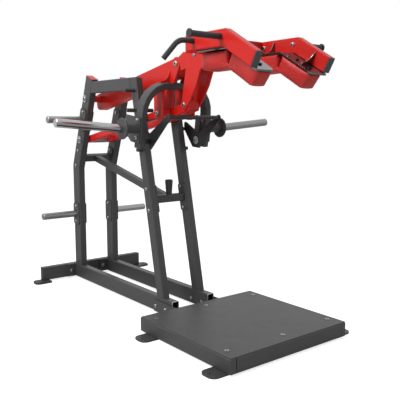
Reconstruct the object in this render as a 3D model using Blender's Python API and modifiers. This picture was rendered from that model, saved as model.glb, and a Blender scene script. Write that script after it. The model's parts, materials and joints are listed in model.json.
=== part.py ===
# Plate-loaded squat machine: a parallelogram of two red arms carries a yoke with
# two loading horns and a pair of shoulder pads above a steel footplate.
# Metres, +Z up, X across the machine, -Y towards the user, origin on the floor
# under the middle of the machine.

import math
import bpy
import bmesh
from mathutils import Matrix, Vector

# Common clearances and details
FIT = 0.0003              # gap between pieces that touch
WELD = 0.001              # how far welded pieces reach into each other
CLEAR = 0.002             # running gap beside a moving piece
WALL = 0.003              # wall of the box tubes
TUBE_ROUND = 0.004        # outer corner radius of the box tubes
PLATE = 0.008             # welded and bolted plates
CAP = 0.003               # plastic and sheet end caps
CAP_INSET = 0.0025        # cap edges in from the tube's faces
TRIM_OVER = 0.003         # tubes that are cut at an angle start this much too long
TRIM_HALF = 0.2
BOLT_R = 0.005            # shank of the frame bolts
HEAD_R = 0.0095           # head of the frame bolts
HEAD_H = 0.006
BOLT_HOLE = 0.0007        # extra radius of a bolt hole
VENT_R = 0.006            # vent holes of closed tubes, on hidden faces
BOLT_STEPS = 8            # sides of the bolts and their holes
PIVOT_STEPS = 12          # sides of the pivots and their bores
BAR_STEPS = 16            # sides of the round tubes
ARC_STEPS = 6             # straight runs in a rounded corner

# Base
OVERALL_LENGTH = 2.213
TUBE_W = 0.050            # width of the frame tubes, along X
FRAME_HALF = 0.165        # outer face of the frame tubes from the middle plane
RAIL_H = 0.0991
RAIL_LIFT = 0.0134
RAIL_FRONT_Y = -0.255
CROSSBAR_W = 0.050
CROSSBAR_HALF = 0.426
FOOT_OUT = 0.076          # how far a foot plate reaches past the crossbar
FOOT_IN = 0.045
FOOT_W = 0.094
FOOT_HOLE = 0.028         # in from the outer end
FOOT_ROUND = 0.034
FLANGE_OUT = 0.068
FLANGE_T = 0.010

# Footplate
DECK_HALF = 0.4335
DECK_REAR_Y = -0.3126
DECK_TOP = 0.0933
DECK_UNDER = 0.0083
DECK_SHEET = 0.005
DECK_RAIL_W = 0.040
DECK_SCREW_INSET = 0.0535
DECK_SCREW_FRONT = 0.0925
DECK_SCREW_REAR = 0.0875
DECK_SCREW_MID_SHIFT = 0.017
DECK_SCREW_R = 0.011
DECK_SCREW_H = 0.002
TAB_OUT = 0.0905
TAB_IN = 0.035
TAB_W = 0.112
TAB_HOLE_R = 0.0065
TAB_HOLE = 0.027          # in from the outer end
TAB_ROUND = 0.040
TAB_FRONT_Y = -1.025
TAB_REAR_Y = -0.4225
JOINT_PLATE_REAR = -0.064
JOINT_PLATE_TOP = 0.087
JOINT_BOLTS = (0.020, 0.130)  # in front of the plate's rear edge

# Rear uprights: vertical below the knee, leaning forward above it
REAR_UP_BACK_Y = 1.043
REAR_UP_DEPTH = 0.096
KNEE_Z = 0.887
REAR_LEAN = math.radians(20.6)
REAR_UP_LENGTH = 0.700

# Front uprights: leaning back
FRONT_UP_FOOT_Y = -0.122
FRONT_UP_DEPTH = 0.072
FRONT_LEAN = math.radians(11.85)
FRAME_TOP = 1.498
BEAM_H = 0.082

# Cross members
REAR_BEAM_S = 0.048
REAR_BEAM_UP = 0.075      # up the leaning tube from the knee
FRONT_BEAM_Z = 0.722
FRONT_BEAM_H = 0.050
REAR_END_PLATE_L = 0.160
FRONT_END_PLATE_L = 0.176
END_BOLT_INSET = 0.019
END_PLATE_W = 0.066
BRACE_S = 0.046
BUMPER_R = 0.026
BUMPER_NECK = 0.020
BUMPER_FOOT = 0.010
BUMPER_H = 0.095

# Plate storage
SLEEVE_R = 0.025          # loading and storage sleeves, 50 mm
STORE_TIP = 0.444
LOW_STORE_Y = 0.995
LOW_STORE_Z = 0.515
HIGH_STORE_Z = 1.228
STORE_PLATE_L = 0.166
STORE_PLATE_W = 0.084
STORE_PLATE_CUT = 0.014
STORE_BOLT_SPAN = 0.117
PEG_R = 0.0125
PEG_STEPS = 12
PEG_OUT = 0.072
PEG_TOP_Z = 1.413
PEG_MID_Z = 1.287
PEG_CATCH_Z = 1.168
PEG_LOW_Z = 1.038
PEG_SHORT_OUT = 0.034
ARM_STOP_IN = 0.073
ARM_STOP_R = 0.0125

# Linkage: pivots as (y, z); the coupler keeps its attitude
PIVOT_A = (0.823, 1.380)
PIVOT_D = (0.922, 1.081)
ARM_REACH = (-0.973, 0.186)
PIVOT_R = 0.010
PIVOT_FIT = 0.0006        # running clearance on faceted pivots
PIVOT_HEAD_R = 0.015
WASHER_R = 0.027
WASHER_T = 0.003
BUSH_R = 0.025
FRONT_BUSH_R = 0.0175
UPPER_ARM_HALF = 0.038
UPPER_ARM_H = 0.116
UPPER_ARM_OVER = 0.042    # from the pivot line up to the top face
UPPER_ARM_TAIL = 0.062    # behind pivot A
UPPER_ARM_NOSE_BACK = 0.060
UPPER_ARM_CUT = 0.020     # cut corners of the tail
LOWER_TUBE_IN = 0.0565
LOWER_TUBE_W = 0.050
LOWER_TUBE_H = 0.050
LOWER_ARM_NOSE = 0.056    # in front of the lower front pivot
LOWER_NOSE_R = 0.011
LOWER_TIE_R = 0.015
LOWER_TUBE_ROUND = 0.008
LOWER_SLEEVE_R = 0.020
LOWER_TIE_SHARE = 0.125
LINK_PLAY = 0.0015
LUG_R = 0.040
LUG_T = 0.010
LUG_GAP = 0.0045           # between the upper arm and the lugs
SIDE_PLATE_T = 0.012
SIDE_PLATE_GAP = 0.0055   # between the lower arm and the side plates
LINK_PLATE_W = 0.098
LINK_PLATE_FOOT = 0.041   # below the lower front pivot
LINK_PLATE_ROUND = 0.035
LINK_PLATE_MID_Y = -0.063
GUSSET_W = 0.075
GUSSET_H = 0.075
GUSSET_TIP = 0.004

# Yoke
YOKE_W = 0.040
YOKE_D = 0.070
YOKE_HALF = 0.267
YOKE_TOP = 1.450
YOKE_FOOT = 1.048
YOKE_RADIUS = 0.185
YOKE_LEAN = math.radians(8.2)
YOKE_FRONT_Y = -0.101     # front face at the height below
YOKE_FRONT_Z = 1.263
HORN_Z = 1.170
HORN_BASE_T = 0.010
HORN_BASE_L = 0.164
HORN_BASE_H = 0.157
HORN_BASE_SHIFT = -0.0105
HORN_BASE_FRONT = 0.004   # behind the yoke's front face
HORN_BASE_FOOT = 0.096    # where the lower edge turns up
HORN_BASE_STEP = 0.045
HORN_BOLT_INSET = 0.018
HORN_LOW_BOLT_INSET = 0.033
HUB_R = 0.030
HUB_OUT = 0.386
DISC_R = 0.065
DISC_T = 0.010
DISC_EDGE = 0.002
HORN_TIP = 0.808
HORN_RISE = math.radians(4.8)

# Pad frame
STUB_DROP = math.radians(14.0)
STUB_H = 0.056
STUB_FRONT = (-0.262, 1.312)
STUB_BOLT = (-0.229, 1.317)
STUB_BOLT_R = 0.007
STUB_HEAD_R = 0.0125
ARM_TOP_Z = 1.672
STRAP_BOLT = (-0.334, ARM_TOP_Z - 0.070)
LEG_T = 0.010
LEG_FOOT_R = 0.027
LEG_FRONT_LOW = (-0.289, STUB_BOLT[1] + 0.026)
LEG_FRONT_MID = (-0.348, STUB_BOLT[1] + 0.112)
LEG_FRONT_TOP = (-0.387, ARM_TOP_Z - 0.157)
LEG_REAR_MID = (-0.229, STUB_BOLT[1] + 0.117)
LEG_REAR_TOP = (-0.250, ARM_TOP_Z - 0.142)
LEG_REAR_HEEL = (-0.200, ARM_TOP_Z - 0.150)
LEG_TOP_BACK = (-0.226, ARM_TOP_Z - 0.043)
LEG_TOP_FRONT = ARM_TOP_Z - 0.069
CARRIER_FRONT_Y = -0.600
CARRIER_D = 0.110
ARM_IN = 0.238
ARM_W = 0.043
ARM_H = 0.084
ARM_REAR_Y = -0.547
ARM_APEX_Y = -0.872
ARM_DROP = math.radians(29.5)
ARM_NOSE_L = 0.258
BOARD_T = 0.010
BOARD_IN = 0.127
BOARD_UNDER_ARM = 0.012   # how far the board reaches under the arm
BOARD_SHORT = 0.006       # how far its front end stays behind the arm's
BOARD_CORNER = 0.030
BOARD_GUSSET_REAR = -0.150
BOARD_GUSSET_FRONT = 0.140
BOARD_SCREWS = (-0.19, -0.07, 0.09, 0.19)
GUSSET_BOARD_W = 0.075
GUSSET_BOARD_H = 0.072
GUSSET_BOARD_R = 0.062
GUSSET_BOARD_T = 0.004
PAD_IN = 0.127
PAD_OUT = 0.229
PAD_T = 0.096
PAD_REAR_Y = -0.612
PAD_NOSE_L = 0.247
PAD_NOSE_CUT = 0.040      # the lower front edge is drawn back
PAD_ROUND = 0.012
PAD_CROWN = 0.002
PAD_END_DRAW = 0.006      # cover drawn in at the free ends
PAD_END_SHARE = 0.08
PAD_CREASE_DRAW = 0.005   # and at the crease
PAD_CREASE_SHARE = 0.04
PAD_GAP_TOP = 0.044       # wedge-shaped gap between the two blocks, at the board
PAD_GAP_LEFT = 0.014      # how much of the thickness stays under the gap
PAD_LEVEL_STEPS = (0.0, 0.04, 0.10, 0.5, 0.94, 0.985, 1.0)
PAD_SLOPE_STEPS = (0.015, 0.06, 0.5, 0.90, 0.96, 1.0)
GRIP_R = 0.0155
GRIP_L = 0.197
GRIP_FLANGE_R = 0.022
GRIP_FLANGE_T = 0.008
GRIP_CORNER_X = 0.375
GRIP_BEND = 0.035
GRIP_END = (0.440, -0.572, ARM_TOP_Z - 0.134)
BENT_GRIP_R = 0.0145
GRIP_Z = ARM_TOP_Z - 0.037
GRIP_FRONT_Y = -0.839
GRIP_REAR_Y = -0.618

# Catch lever: bent side plates on pins inside the yoke's legs
LEVER_PIVOT = (-0.043, 1.095)
LEVER_BAR = (-0.267, 1.241)
LEVER_BAR_R = 0.0125
LEVER_HALF = 0.194
LEVER_T = 0.008
LEVER_TIP_R = 0.018
LEVER_TIP_START = 232     # where the edge meets the rounded tip, degrees
LEVER_TIP_END = 52
LEVER_CROTCH = (-0.064, 1.142)
LEVER_HOOK_TOP = ((0.066, 1.213), (0.084, 1.214))
LEVER_HOOK_FOOT = (0.076, 1.150)
LEVER_HEEL = ((-0.005, 1.050), (-0.074, 1.045))
LEVER_SEAT_R = 0.0205
LEVER_SEAT_START = 120    # the seat's arc beside the peg, degrees
LEVER_SEAT_END = 185
LEVER_PIN_R = 0.008
LEVER_WASHER_R = 0.024
LEVER_COLLAR_R = 0.014

# Values that follow from the driving sizes
FRAME_IN = FRAME_HALF - TUBE_W
FRONT_Y = -OVERALL_LENGTH / 2
REAR_Y = OVERALL_LENGTH / 2
RAIL_TOP = RAIL_LIFT + RAIL_H
CROSSBAR_FRONT_Y = REAR_Y - CROSSBAR_W
PIVOT_B = (PIVOT_A[0] + ARM_REACH[0], PIVOT_A[1] + ARM_REACH[1])
PIVOT_C = (PIVOT_D[0] + ARM_REACH[0], PIVOT_D[1] + ARM_REACH[1])
LUG_IN = UPPER_ARM_HALF + LUG_GAP
SIDE_PLATE_IN = LOWER_TUBE_IN + LOWER_TUBE_W + SIDE_PLATE_GAP
SIDES = {"left": -1, "right": 1}
ALONG_X = [(1, 0, 0), (-1, 0, 0)]
ALONG_Y = [(0, 1, 0), (0, -1, 0)]

RED = ("red_coat", (0.66, 0.035, 0.028), 0.32, 0.0)
CHARCOAL = ("charcoal_coat", (0.065, 0.065, 0.066), 0.5, 0.0)
CHROME = ("chrome", (0.75, 0.75, 0.76), 0.12, 1.0)
STEEL = ("steel", (0.45, 0.45, 0.46), 0.35, 1.0)
ZINC = ("zinc", (0.55, 0.55, 0.55), 0.3, 1.0)
RUBBER = ("rubber", (0.02, 0.02, 0.021), 0.7, 0.0)
VINYL = ("vinyl", (0.62, 0.035, 0.028), 0.45, 0.0)
BLACK = ("black", (0.03, 0.03, 0.031), 0.45, 0.0)

for old in list(bpy.data.objects):
    bpy.data.objects.remove(old, do_unlink=True)
parts = bpy.data.collections.new("squat_machine")
cutters = bpy.data.collections.new("cutters")
bpy.context.scene.collection.children.link(parts)
bpy.context.scene.collection.children.link(cutters)
cuts = {}
welds = {}


def material(part_name, finish):
    """The part's own Principled material."""
    word, colour, roughness, metallic = finish
    made = bpy.data.materials.new(part_name + "_" + word)
    made.use_nodes = True
    shader = made.node_tree.nodes["Principled BSDF"]
    shader.inputs["Base Color"].default_value = (*colour, 1.0)
    shader.inputs["Roughness"].default_value = roughness
    shader.inputs["Metallic"].default_value = metallic
    made.diffuse_color = (*colour, 1.0)
    return made


def keep(name, bm, finish, smooth=False):
    """Store a finished bmesh as one named part."""
    mesh = bpy.data.meshes.new(name)
    bm.to_mesh(mesh)
    bm.free()
    if smooth:
        mesh.shade_smooth()
        mesh.set_sharp_from_angle(angle=math.radians(35))
    mesh.materials.append(material(name, finish))
    part = bpy.data.objects.new(name, mesh)
    parts.objects.link(part)
    return part


def flat_curve(outline, thickness):
    """A filled flat outline with thickness, as a bmesh lying in its own XY plane."""
    curve = bpy.data.curves.new("outline", "CURVE")
    curve.dimensions = "2D"
    curve.fill_mode = "BOTH"
    curve.extrude = thickness / 2
    loop = curve.splines.new("POLY")
    loop.points.add(len(outline) - 1)
    for point, (u, v) in zip(loop.points, outline):
        point.co = (u, v, 0.0, 1.0)
    loop.use_cyclic_u = True
    guide = bpy.data.objects.new("outline", curve)
    cutters.objects.link(guide)
    bpy.context.view_layer.update()
    graph = bpy.context.evaluated_depsgraph_get()
    mesh = bpy.data.meshes.new_from_object(guide.evaluated_get(graph))
    bm = bmesh.new()
    bm.from_mesh(mesh)
    bmesh.ops.remove_doubles(bm, verts=bm.verts, dist=0.00001)
    bmesh.ops.dissolve_limit(bm, angle_limit=0.001, verts=bm.verts, edges=bm.edges)
    bmesh.ops.recalc_face_normals(bm, faces=bm.faces)
    bpy.data.objects.remove(guide, do_unlink=True)
    bpy.data.curves.remove(curve)
    bpy.data.meshes.remove(mesh)
    return bm


# Turns the outline's plane so that its two axes become Y and Z, or X and Z
UPRIGHT_PLANE = Matrix(((0, 0, 1, 0), (1, 0, 0, 0), (0, 1, 0, 0), (0, 0, 0, 1)))
CROSS_PLANE = Matrix(((1, 0, 0, 0), (0, 0, -1, 0), (0, 1, 0, 0), (0, 0, 0, 1)))


def slab_bm(outline, low, high, plane=UPRIGHT_PLANE):
    """An outline given thickness from low to high along the plane's normal."""
    bm = flat_curve(outline, high - low)
    middle = (low + high) / 2
    if plane is CROSS_PLANE:
        middle = -middle
    bmesh.ops.transform(bm, matrix=plane @ Matrix.Translation((0, 0, middle)), verts=bm.verts)
    return bm


def box_bm(low, high):
    """A box between two corners."""
    bm = bmesh.new()
    bmesh.ops.create_cube(bm, size=1.0)
    size = [b - a for a, b in zip(low, high)]
    centre = [(a + b) / 2 for a, b in zip(low, high)]
    bmesh.ops.transform(bm, matrix=Matrix.Translation(centre) @ Matrix.Diagonal((*size, 1)), verts=bm.verts)
    return bm


def open_ends(bm, axes):
    """Take off the end faces that look along the given axes."""
    bm.normal_update()
    ends = [face for face in bm.faces if any(face.normal.dot(Vector(axis)) > 0.999 for axis in axes)]
    bmesh.ops.delete(bm, geom=ends, context="FACES_ONLY")
    return bm


def add(bm, other):
    """Move the faces of one bmesh into another as a separate solid."""
    spare = bpy.data.meshes.new("spare")
    other.to_mesh(spare)
    other.free()
    bm.from_mesh(spare)
    bpy.data.meshes.remove(spare)


def spread(low, high, side):
    """A range beside the middle plane, put on the left or on the right."""
    return sorted((side * low, side * high))


def tube(name, bm, open_axes, finish, wall=WALL, rounding=TUBE_ROUND):
    """A rolled box tube: the end faces that look along open_axes are taken off."""
    part = keep(name, open_ends(bm, open_axes), finish)
    edge = part.modifiers.new("rounded_edges", "BEVEL")
    edge.width = rounding
    edge.segments = 1
    edge.limit_method = "ANGLE"
    edge.angle_limit = math.radians(40)
    shell = part.modifiers.new("tube_wall", "SOLIDIFY")
    shell.thickness = wall
    shell.offset = -1
    shell.use_even_offset = True


def turned_bm(profile, steps=BOLT_STEPS):
    """A profile of (radius, height) points, top to bottom, turned about Z."""
    mesh = bpy.data.meshes.new("profile")
    points = [(radius, 0.0, height) for radius, height in profile]
    mesh.from_pydata(points, [(i, i + 1) for i in range(len(points) - 1)], [])
    guide = bpy.data.objects.new("profile", mesh)
    cutters.objects.link(guide)
    turn = guide.modifiers.new("turn", "SCREW")
    turn.steps = steps
    turn.render_steps = steps
    turn.use_merge_vertices = True
    turn.merge_threshold = 0.00001
    bpy.context.view_layer.update()
    graph = bpy.context.evaluated_depsgraph_get()
    solid = bpy.data.meshes.new_from_object(guide.evaluated_get(graph))
    bm = bmesh.new()
    bm.from_mesh(solid)
    bmesh.ops.remove_doubles(bm, verts=bm.verts, dist=0.00001)
    bmesh.ops.recalc_face_normals(bm, faces=bm.faces)
    bpy.data.objects.remove(guide, do_unlink=True)
    bpy.data.meshes.remove(mesh)
    bpy.data.meshes.remove(solid)
    return bm


def aim(bm, start, direction):
    """Turn a solid made along Z so that it starts at a point and looks along a direction."""
    turn = Vector((0, 0, 1)).rotation_difference(Vector(direction)).to_matrix().to_4x4()
    bmesh.ops.transform(bm, matrix=Matrix.Translation(start) @ turn, verts=bm.verts)
    return bm


def rod_bm(start, end, radius, steps=BAR_STEPS):
    """A round bar between two points."""
    start = Vector(start)
    end = Vector(end)
    length = (end - start).length
    bm = bmesh.new()
    bmesh.ops.create_cone(bm, cap_ends=True, segments=steps, radius1=radius, radius2=radius, depth=length)
    bmesh.ops.translate(bm, vec=(0, 0, length / 2), verts=bm.verts)
    return aim(bm, start, end - start)


def weld(name, bm):
    """Ask for a solid that becomes one with the named part."""
    if name in welds:
        add(welds[name], bm)
    else:
        welds[name] = bm


def cut(name, bm):
    """Ask for a solid to be taken out of the named part."""
    if name in cuts:
        add(cuts[name], bm)
    else:
        cuts[name] = bm


def drill(name, start, end, radius, steps=BOLT_STEPS):
    """A round hole."""
    cut(name, rod_bm(start, end, radius, steps))


def trim(name, at, out):
    """A flat tube end: what lies beyond the plane through a (y, z) point goes."""
    block = box_bm((-TRIM_HALF, -TRIM_HALF, 0.0), (TRIM_HALF, TRIM_HALF, 4 * TRIM_OVER))
    cut(name, aim(block, (0, *at), (0, *out)))


def bolt_bm(head_at, direction, grip, seats, radius=BOLT_R, head=HEAD_R, nut=True, steps=BOLT_STEPS):
    """A bolt with a head and, where it has one, a nut; each seat is clear of its face or sunk into it."""
    over, under = seats
    profile = [(0, over + HEAD_H), (head, over + HEAD_H), (head, over), (radius, over),
               (radius, -grip - under)]
    if nut:
        profile += [(head, -grip - under), (head, -grip - under - HEAD_H), (0, -grip - under - HEAD_H)]
    else:
        profile += [(0, -grip - under)]
    return aim(turned_bm(profile, steps), head_at, direction)


def cross_bolt(carrier, through, x_head, y, z, grip, side, seats):
    """A bolt along X that is one with its carrier, with a clear hole in the part it passes through."""
    weld(carrier, bolt_bm((x_head, y, z), (side, 0, 0), grip, seats))
    reach = grip + CAP
    drill(through, (x_head + side * CAP, y, z), (x_head - side * reach, y, z), BOLT_R + BOLT_HOLE)


def on_lean(foot, lean, along, across=0.0):
    """A point (y, z) beside a leaning line: along it, and across it towards the front."""
    y = foot[0] + along * math.sin(lean) - across * math.cos(lean)
    z = foot[1] + along * math.cos(lean) + across * math.sin(lean)
    return (y, z)


def lean_rect(centre, lean, length, width, cut=0.0):
    """A rectangle (y, z) along a leaning line, with cut corners where asked."""
    half_l = length / 2
    half_w = width / 2
    if cut:
        local = [(-half_l, -half_w + cut), (-half_l, half_w - cut),
                 (-half_l + cut, half_w), (half_l - cut, half_w),
                 (half_l, half_w - cut), (half_l, -half_w + cut),
                 (half_l - cut, -half_w), (-half_l + cut, -half_w)]
    else:
        local = [(-half_l, -half_w), (-half_l, half_w), (half_l, half_w), (half_l, -half_w)]
    return [on_lean(centre, lean, along, across) for along, across in local]


def arc(centre, radius, start, end, steps=ARC_STEPS):
    """Points on an arc, angles in degrees."""
    turn = [math.radians(start + (end - start) * i / steps) for i in range(steps + 1)]
    return [(centre[0] + radius * math.cos(a), centre[1] + radius * math.sin(a)) for a in turn]


def cross(line_a, line_b):
    """Where two lines (point, direction) in the YZ plane meet."""
    (ay, az), (ady, adz) = line_a
    (by, bz), (bdy, bdz) = line_b
    share = ((by - ay) * bdz - (bz - az) * bdy) / (ady * bdz - adz * bdy)
    return (ay + share * ady, az + share * adz)


# Lines that many pieces share
def front_mid_y(z):
    return FRONT_UP_FOOT_Y + (z - RAIL_TOP) * math.tan(FRONT_LEAN)


FRONT_HALF = FRONT_UP_DEPTH / 2 / math.cos(FRONT_LEAN)
REAR_LINE = (-math.sin(REAR_LEAN), math.cos(REAR_LEAN))
KNEE = (REAR_UP_BACK_Y, KNEE_Z)


def rear_point(along, across):
    """A point on the leaning rear tube, from the knee and from its back face."""
    return on_lean(KNEE, -REAR_LEAN, along, across)


def rear_front_face_y(z):
    y, height = rear_point(0.0, REAR_UP_DEPTH)
    return y - (z - height) * math.tan(REAR_LEAN)


def yoke_point(height, depth):
    """A point on the yoke's leaning plane: height along it, depth behind its front face."""
    y = YOKE_FRONT_Y - height * math.sin(YOKE_LEAN) + depth * math.cos(YOKE_LEAN)
    z = YOKE_FRONT_Z + height * math.cos(YOKE_LEAN) + depth * math.sin(YOKE_LEAN)
    return (y, z)


YOKE_UP = (YOKE_TOP - YOKE_FRONT_Z) / math.cos(YOKE_LEAN)
YOKE_DOWN = (YOKE_FOOT - YOKE_FRONT_Z) / math.cos(YOKE_LEAN)


# Base: two rails, the rear crossbar and its feet
def make_base():
    bar = box_bm((-CROSSBAR_HALF, CROSSBAR_FRONT_Y, RAIL_LIFT), (CROSSBAR_HALF, REAR_Y, RAIL_TOP))
    tube("rear_crossbar", bar, ALONG_X, CHARCOAL)
    for word, side in SIDES.items():
        name = "base_rail_" + word
        x0, x1 = spread(FRAME_IN, FRAME_HALF, side)
        rail_end = CROSSBAR_FRONT_Y - FLANGE_T - FIT
        tube(name, box_bm((x0, RAIL_FRONT_Y, RAIL_LIFT), (x1, rail_end + WELD, RAIL_TOP)), ALONG_Y, CHARCOAL)
        f0, f1 = spread(FRAME_IN - FLANGE_OUT, FRAME_HALF + FLANGE_OUT, side)
        weld(name, box_bm((f0, rail_end, RAIL_LIFT + WELD), (f1, CROSSBAR_FRONT_Y - FIT, RAIL_TOP - WELD)))
        z = (RAIL_LIFT + RAIL_TOP) / 2
        for x in (f0 + FLANGE_OUT / 2, f1 - FLANGE_OUT / 2):
            weld(name, bolt_bm((x, rail_end, z), (0, -1, 0), FLANGE_T + WALL + FIT, (-WELD, FIT)))
            start = (x, CROSSBAR_FRONT_Y - CAP, z)
            drill("rear_crossbar", start, (x, CROSSBAR_FRONT_Y + 2 * WALL, z), BOLT_R + BOLT_HOLE)
        c0, c1 = spread(CROSSBAR_HALF - WELD, CROSSBAR_HALF + CAP, side)
        inset = CAP_INSET
        low = (c0, CROSSBAR_FRONT_Y + inset, RAIL_LIFT + inset)
        weld("rear_crossbar", box_bm(low, (c1, REAR_Y - inset, RAIL_TOP - inset)))
        outer = CROSSBAR_HALF + FOOT_OUT
        y0 = CROSSBAR_FRONT_Y - FOOT_W / 2
        foot = foot_plate(side, CROSSBAR_HALF - FOOT_IN, outer, y0, y0 + FOOT_W, RAIL_LIFT + WELD, FOOT_ROUND)
        weld("rear_crossbar", foot)
        hole = (side * (outer - FOOT_HOLE), CROSSBAR_FRONT_Y)
        drill("rear_crossbar", (*hole, -CAP), (*hole, RAIL_LIFT + CAP), TAB_HOLE_R)


def foot_plate(side, inner, outer, y0, y1, thickness, radius):
    """A flat foot with a rounded outer end, lying on the floor."""
    corner_a = arc((outer - radius, y1 - radius), radius, 90, 0)
    corner_b = arc((outer - radius, y0 + radius), radius, 0, -90)
    outline = [(inner, y0), (inner, y1)] + corner_a + corner_b
    bm = flat_curve([(side * x, y) for x, y in outline], thickness)
    bmesh.ops.translate(bm, vec=(0, 0, thickness / 2), verts=bm.verts)
    return bm


# Footplate: a sheet on four rails, with floor tabs and the plates that join it to the base
def make_deck():
    sheet_under = DECK_TOP - DECK_SHEET
    rail_top = sheet_under - FIT
    sheet = box_bm((-DECK_HALF + CAP, FRONT_Y + CAP, sheet_under), (DECK_HALF - CAP, DECK_REAR_Y, DECK_TOP))
    keep("deck_sheet", sheet, CHARCOAL)
    inner = DECK_HALF - DECK_RAIL_W - FIT
    front = box_bm((-inner, FRONT_Y, DECK_UNDER), (inner, FRONT_Y + DECK_RAIL_W, rail_top))
    tube("deck_front_rail", front, ALONG_X, CHARCOAL)
    rear = box_bm((-inner, DECK_REAR_Y - DECK_RAIL_W, DECK_UNDER), (inner, DECK_REAR_Y, rail_top))
    tube("deck_rear_rail", rear, ALONG_X, CHARCOAL)
    for word, side in SIDES.items():
        name = "deck_side_rail_" + word
        x0, x1 = spread(DECK_HALF - DECK_RAIL_W, DECK_HALF, side)
        tube(name, box_bm((x0, FRONT_Y, DECK_UNDER), (x1, DECK_REAR_Y, rail_top)), [(0, 1, 0)], CHARCOAL)
        outer = DECK_HALF + TAB_OUT
        for y in (TAB_FRONT_Y, TAB_REAR_Y):
            ends = (DECK_HALF - TAB_IN, outer, y - TAB_W / 2, y + TAB_W / 2)
            weld(name, foot_plate(side, *ends, DECK_UNDER + WELD, TAB_ROUND))
            hole = (side * (outer - TAB_HOLE), y)
            drill(name, (*hole, -CAP), (*hole, DECK_UNDER + CAP), TAB_HOLE_R)
        p0, p1 = spread(FRAME_HALF + FIT, FRAME_HALF + FIT + PLATE, side)
        low = (p0, DECK_REAR_Y - WELD, RAIL_LIFT)
        weld("deck_rear_rail", box_bm(low, (p1, JOINT_PLATE_REAR, JOINT_PLATE_TOP)))
        for back in JOINT_BOLTS:
            x_head = side * (FRAME_HALF + FIT + PLATE)
            grip = PLATE + FIT + TUBE_W
            place = (JOINT_PLATE_REAR - back, (RAIL_LIFT + JOINT_PLATE_TOP) / 2)
            cross_bolt("deck_rear_rail", "base_rail_" + word, x_head, *place, grip, side, (-WELD, FIT))
    for side in (-1, 0, 1):
        shift = 0.0 if side else DECK_SCREW_MID_SHIFT
        x = side * (DECK_HALF - DECK_SCREW_INSET)
        for y in (FRONT_Y + DECK_SCREW_FRONT - shift, DECK_REAR_Y - DECK_SCREW_REAR + shift):
            under = sheet_under + WELD
            profile = [(0, DECK_TOP + DECK_SCREW_H), (DECK_SCREW_R, DECK_TOP + DECK_SCREW_H),
                       (DECK_SCREW_R, DECK_TOP - WELD), (BOLT_R, DECK_TOP - WELD), (BOLT_R, under),
                       (HEAD_R, under), (HEAD_R, sheet_under - HEAD_H), (0, sheet_under - HEAD_H)]
            weld("deck_sheet", aim(turned_bm(profile), (x, y, 0), (0, 0, 1)))


# Uprights and side beams
def make_uprights():
    foot_z = RAIL_TOP + FIT
    back_top = rear_point(REAR_UP_LENGTH, 0.0)
    front_top = rear_point(REAR_UP_LENGTH, REAR_UP_DEPTH)
    front_knee = (REAR_UP_BACK_Y - REAR_UP_DEPTH, KNEE_Z - REAR_UP_DEPTH * math.tan(REAR_LEAN / 2))
    rear_outline = [(REAR_UP_BACK_Y, foot_z), KNEE, back_top, front_top, front_knee,
                    (REAR_UP_BACK_Y - REAR_UP_DEPTH, foot_z)]
    low_z = foot_z - TRIM_OVER
    front_outline = [(front_mid_y(z) + way * FRONT_HALF, z) for way, z in
                     ((-1, low_z), (1, low_z), (1, FRAME_TOP), (-1, FRAME_TOP))]
    beam_low = FRAME_TOP - BEAM_H
    rear_gap = TRIM_OVER - FIT / math.cos(REAR_LEAN)
    front_gap = TRIM_OVER - FIT / math.cos(FRONT_LEAN)
    beam_outline = [(rear_front_face_y(z) + rear_gap, z) for z in (beam_low, FRAME_TOP)]
    beam_outline += [(front_mid_y(z) + FRONT_HALF - front_gap, z) for z in (FRAME_TOP, beam_low)]
    rear_out = (math.cos(REAR_LEAN), math.sin(REAR_LEAN))
    front_out = (-math.cos(FRONT_LEAN), math.sin(FRONT_LEAN))
    lid = [rear_point(REAR_UP_LENGTH + lift, across) for lift, across in
           ((FIT, 0), (FIT + CAP, 0), (FIT + CAP, REAR_UP_DEPTH), (FIT, REAR_UP_DEPTH))]
    pegs = ((PEG_TOP_Z, PEG_OUT), (PEG_MID_Z, PEG_OUT),
            (PEG_CATCH_Z, PEG_SHORT_OUT), (PEG_LOW_Z, PEG_SHORT_OUT))
    for word, side in SIDES.items():
        x0, x1 = spread(FRAME_IN, FRAME_HALF, side)
        ends = [(0, 0, -1), (0, *REAR_LINE)]
        tube("rear_upright_" + word, slab_bm(rear_outline, x0, x1), ends, CHARCOAL)
        tube("front_upright_" + word, slab_bm(front_outline, x0, x1), [(0, 0, -1)], CHARCOAL)
        trim("front_upright_" + word, (front_mid_y(foot_z), foot_z), (0, -1))
        name = "side_beam_" + word
        tube(name, slab_bm(beam_outline, x0, x1), [(0, *rear_out), (0, *front_out)], CHARCOAL)
        trim(name, (beam_outline[0][0] - TRIM_OVER, beam_low), rear_out)
        trim(name, (beam_outline[3][0] + TRIM_OVER, beam_low), front_out)
        keep("rear_upright_cap_" + word, slab_bm(lid, x0, x1), RED)
        for z, reach in pegs:
            y = front_mid_y(z)
            tip = side * (FRAME_HALF + reach)
            peg = rod_bm((side * (FRAME_HALF - WELD), y, z), (tip, y, z), PEG_R, PEG_STEPS)
            weld("front_upright_" + word, peg)
        y = front_mid_y(PEG_MID_Z)
        inner = FRAME_IN - FIT
        stop = rod_bm((side * inner, y, PEG_MID_Z), (side * (inner - ARM_STOP_IN), y, PEG_MID_Z), ARM_STOP_R)
        keep("upper_stop_" + word, stop, RUBBER, smooth=True)


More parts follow.
